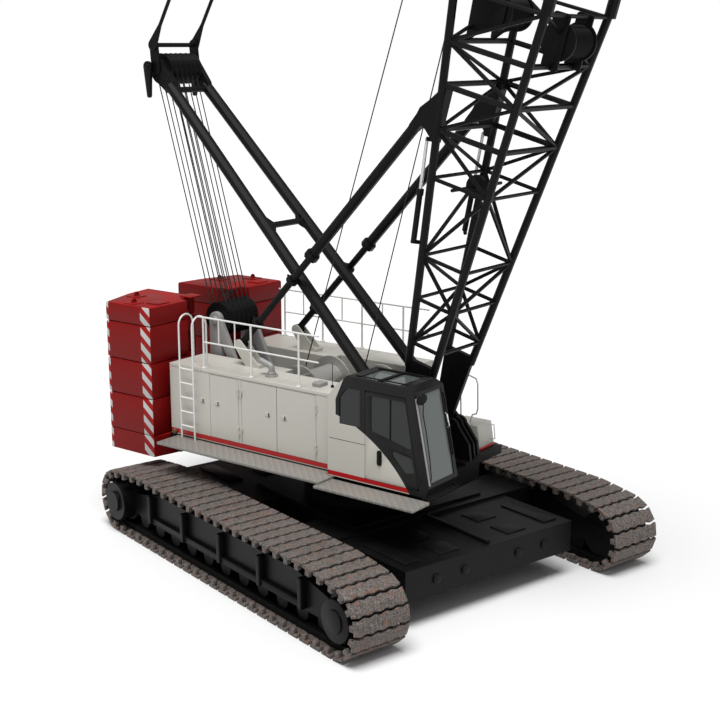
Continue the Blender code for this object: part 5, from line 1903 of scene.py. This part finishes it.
@dataclass
class Underworks:
    """Bosses, covers and ribs of the car body and the side frames.

    Attributes:
        beam_end: The X of the beams' end faces.
        beam_top: The level from which the covers rise.
        bosses: The Y of the bosses on each end face.
        cover: The Y of the covers and the X of their two ends.
        panels: The X and Y of the corners from which the small panels reach 0.45 m.
        ribs: The X of the ribs on the side frames.
        face: The Y from which the side frames' ribs start.
        band: The lowest and highest level of those ribs.
        wheels: The X of the wheels' hubs.
        axle: The level of the hubs.
    """

    beam_end: float = 3.39
    beam_top: float = 1.02
    bosses: tuple[float, ...] = (-1.25, -0.62, 0.62, 1.25)
    cover: Place = (1.60, 2.10, 3.20)
    panels: tuple[Point, Point] = ((2.0, 2.75), (-1.0, 0.55))
    ribs: tuple[float, ...] = (-2.45, -1.25, 0.0, 1.25, 2.45)
    face: float = 3.20
    band: Point = (0.44, 0.98)
    wheels: Point = (3.475, -3.53)
    axle: float = 0.62

    def build_beams(self, site: Site) -> None:
        """Set the fittings of the car body's two ends.

        Args:
            site: Where the crane stands.
        """
        top = self.beam_top
        parts = []
        for end in (1.0, -1.0):
            for y in self.bosses:
                start, stop = ((end * x, y, 0.75) for x in (self.beam_end, self.beam_end + 0.05))
                parts.append(drum("boss", start, stop, 0.085, 0.012, 24))
            middle, near, far = self.cover
            low, high = span(end, near, far)
            for y in (-middle, middle):
                corners = (low, y - 0.16, top), (high, y + 0.16, top + 0.04)
                parts.append(block("cover", *corners, 0.012))
            low, high = span(end, 1.62, 3.30)
            parts.append(block("rib", (low, -0.04, top), (high, 0.04, top + 0.07), 0.010))
            for x in self.panels[0]:
                low, high = span(end, x, x + 0.45)
                for y in self.panels[1]:
                    corners = (low, y, top + 0.005), (high, y + 0.45, top + 0.03)
                    parts.append(block("panel", *corners, 0.010))
        site.fit(joined("beam_fittings", parts), "lower", "black", lower=True)

    def build(self, site: Site) -> None:
        """Set every fitting of the lower works.

        Args:
            site: Where the crane stands.
        """
        self.build_beams(site)
        bottom, top = self.band
        for side in Side:
            parts = []
            low, high = span(side.value, self.face, self.face + 0.14)
            for x in self.ribs:
                parts.append(block("rib", (x - 0.05, low, bottom), (x + 0.05, high, top), 0.012))
            low, high = span(side.value, self.face, self.face + 0.10)
            parts.append(block("guard", (-2.40, low, bottom), (2.40, high, bottom + 0.12), 0.012))
            for x in self.wheels:
                for name, near, far, radius, soft, faces in (("hub", 3.19, 3.40, 0.36, 0.02, 40),
                                                             ("cap", 3.40, 3.43, 0.20, 0.01, 32)):
                    ends = ((x, side.value * y, self.axle) for y in (near, far))
                    parts.append(drum(name, *ends, radius, soft, faces))
            site.fit(joined("frame_fittings_" + side.word, parts), "lower", "black", lower=True)


@dataclass
class GantryTrim:
    """The light plates of the gantry, with its tie and pins.

    Attributes:
        pin: The X and Z of the sheaves' axle.
        foot: The level of the plates' feet.
        plate: The inner and outer Y of the plates.
    """

    pin: Point = (-3.36, 4.02)
    foot: float = 1.945
    plate: Point = (0.405, 0.50)

    def build(self, site: Site) -> None:
        """Replace the plain gantry by its plates.

        Args:
            site: Where the crane stands.
        """
        x, z = self.pin
        post = [(-3.50, self.foot), (-3.24, self.foot)] + arc(self.pin, 0.16, 0.0, 180.0)
        brace = [(-2.42, self.foot), (-2.20, self.foot), (-3.22, 4.05), (-3.40, 3.98)]
        parts = []
        for side in Side:
            for name, outline in (("post", post), ("brace", brace)):
                parts.append(slab(name, [outline], *span(side.value, *self.plate), "y", 0.010))
            ends = ((x, side.value * y, z) for y in (0.39, 0.54))
            parts.append(drum("pin", *ends, 0.075, 0.01))
        parts.append(block("tie", (-3.44, -0.45, 2.30), (-3.28, 0.45, 2.46), 0.01))
        frame = joined("gantry_plates", parts)
        site.fit(frame, "upper", "grey")
        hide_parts("gantry")


def finishes(slew: Vector) -> dict[str, bpy.types.Material]:
    """Build every finish once.

    Args:
        slew: The slewing axis at the floor.

    Returns:
        The materials by their short names.
    """
    origin = (slew.x, slew.y)
    cream = (0.50, 0.485, 0.435)
    house = {"roughness": 0.36, "clearcoat": 0.15, "streaking": 0.05}
    made = {
        "black": Paint("black_paint", (0.0035, 0.0035, 0.0036), dust=(0.03, 0.028, 0.026),
                       dust_and_top_light_share=0.10, streaking=0.03, gloss=0.14),
        "dark": Paint("dark_rubber", (0.003, 0.003, 0.003), dust=(0.02, 0.02, 0.02),
                      roughness=0.50, dust_and_top_light_share=0.10, gloss=0.16),
        "house": HousePaint("house_paint", cream, dust_and_top_light_share=0.12, origin=origin, **house),
        "cab": CabPaint("cab_paint", cream, roughness=0.34, dust_and_top_light_share=0.02, streaking=0.02,
                        gloss=0.18, origin=origin),
        "plain": Paint("cream_paint", cream, dust_and_top_light_share=0.10, **house),
        # The counterweights' upward colour is their red about twice as light: painted light on
        # their tops.
        "weight": WeightPaint("weight_paint", (0.19, 0.005, 0.005), dust=(0.42, 0.008, 0.007),
                              roughness=0.40, dust_and_top_light_share=0.9, streaking=0.0, gloss=0.12,
                              red=(0.30, 0.004, 0.004), origin=origin),
        "stripe": Paint("stripe_paint", (0.42, 0.006, 0.008), roughness=0.38),
        "shoe": ShoeSteel("shoe_steel", (0.135, 0.118, 0.110), dust=(0.14, 0.118, 0.108),
                          roughness=0.62, metallic=0.25, dust_and_top_light_share=0.35, gloss=0.3),
        "tread": TreadPaint("tread_plate", (0.30, 0.29, 0.265), metallic=0.2, relief=0.0016),
        "white": Paint("white_rail", (0.70, 0.70, 0.68), roughness=0.35),
        "grey": Paint("grey_casting", (0.30, 0.30, 0.29), roughness=0.48, metallic=0.2),
        # The house cream at about two fifths of its brightness: painted shade.
        "shade": Paint("panel_shade", (0.20, 0.195, 0.18), roughness=0.5),
        "brown": Paint("brown_cap", (0.12, 0.055, 0.02), roughness=0.5),
        "chrome": Paint("chrome_rod", (0.62, 0.62, 0.61), roughness=0.22, metallic=0.55,
                        dust_and_top_light_share=0.0, streaking=0.0),
        "rope": RopeSteel("wire_rope", (0.02, 0.02, 0.02), roughness=0.5, metallic=0.4, gloss=0.3),
        "steel": RopeSteel("drum_steel", (0.46, 0.455, 0.43), roughness=0.38, metallic=0.5),
        # One glass in two copies: the windscreen and roof copy is about ten times lighter, painted
        # light on the panes that face the light.
        "glass": Glazing("side_glass", (0.012, 0.0145, 0.0145), 0.35),
        "front": Glazing("front_glass", (0.13, 0.15, 0.145), 0.35),
    }
    return {key: finish.build() for key, finish in made.items()}


def dress_nodes(frame: dict, looks: dict[str, bpy.types.Material]) -> None:
    """Give every CAD node its finish.

    Args:
        looks: The finishes by their short names.
    """
    words = {"house": "house", "cab": "cab", "slab": "weight", "counterweight": "weight",
             "track": "shoe", "catwalk": "tread", "handrail": "white", "winch": "steel",
             "seat": "dark", "sheaves": "dark", "glass": "glass", "windscreen": "front",
             "roof_glass": "front"}
    for name in sorted(frame["nodes"]):
        chosen = ["black"] + [look for word, look in words.items() if word in name]
        slots = bpy.data.objects[name].data.materials
        slots.clear()
        slots.append(looks[chosen[-1]])


def main() -> None:
    """Build the looks of the crane in order and report each step."""
    logging.basicConfig(level=logging.INFO, format="%(name)s: %(message)s")
    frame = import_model()
    bpy.context.scene.view_settings.view_transform = "Standard"
    ring_low, ring_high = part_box("slewing_ring")
    slew = (ring_low + ring_high) / 2.0
    slew.z = 0.0
    studio = Studio()
    studio.lay_floor()
    studio.light(slew)
    studio.set_camera(slew)
    LOG.info("studio set round %d nodes", len(frame["nodes"]))
    Effects.build()
    site = Site(slew, finishes(slew))
    dress_nodes(frame, site.looks)
    for side in Side:
        Crawler().build(site, side)
        Weights().build(site, side)
    for kind in (HouseTrim, Railings, Walkways, CabTrim, ToolBox, BoomFittings, Rigging,
                 Underworks, GantryTrim, StopRings):
        group = kind()
        group.build(site)
        LOG.info("%s done", type(group).__name__)


if __name__ == "__main__":
    main()
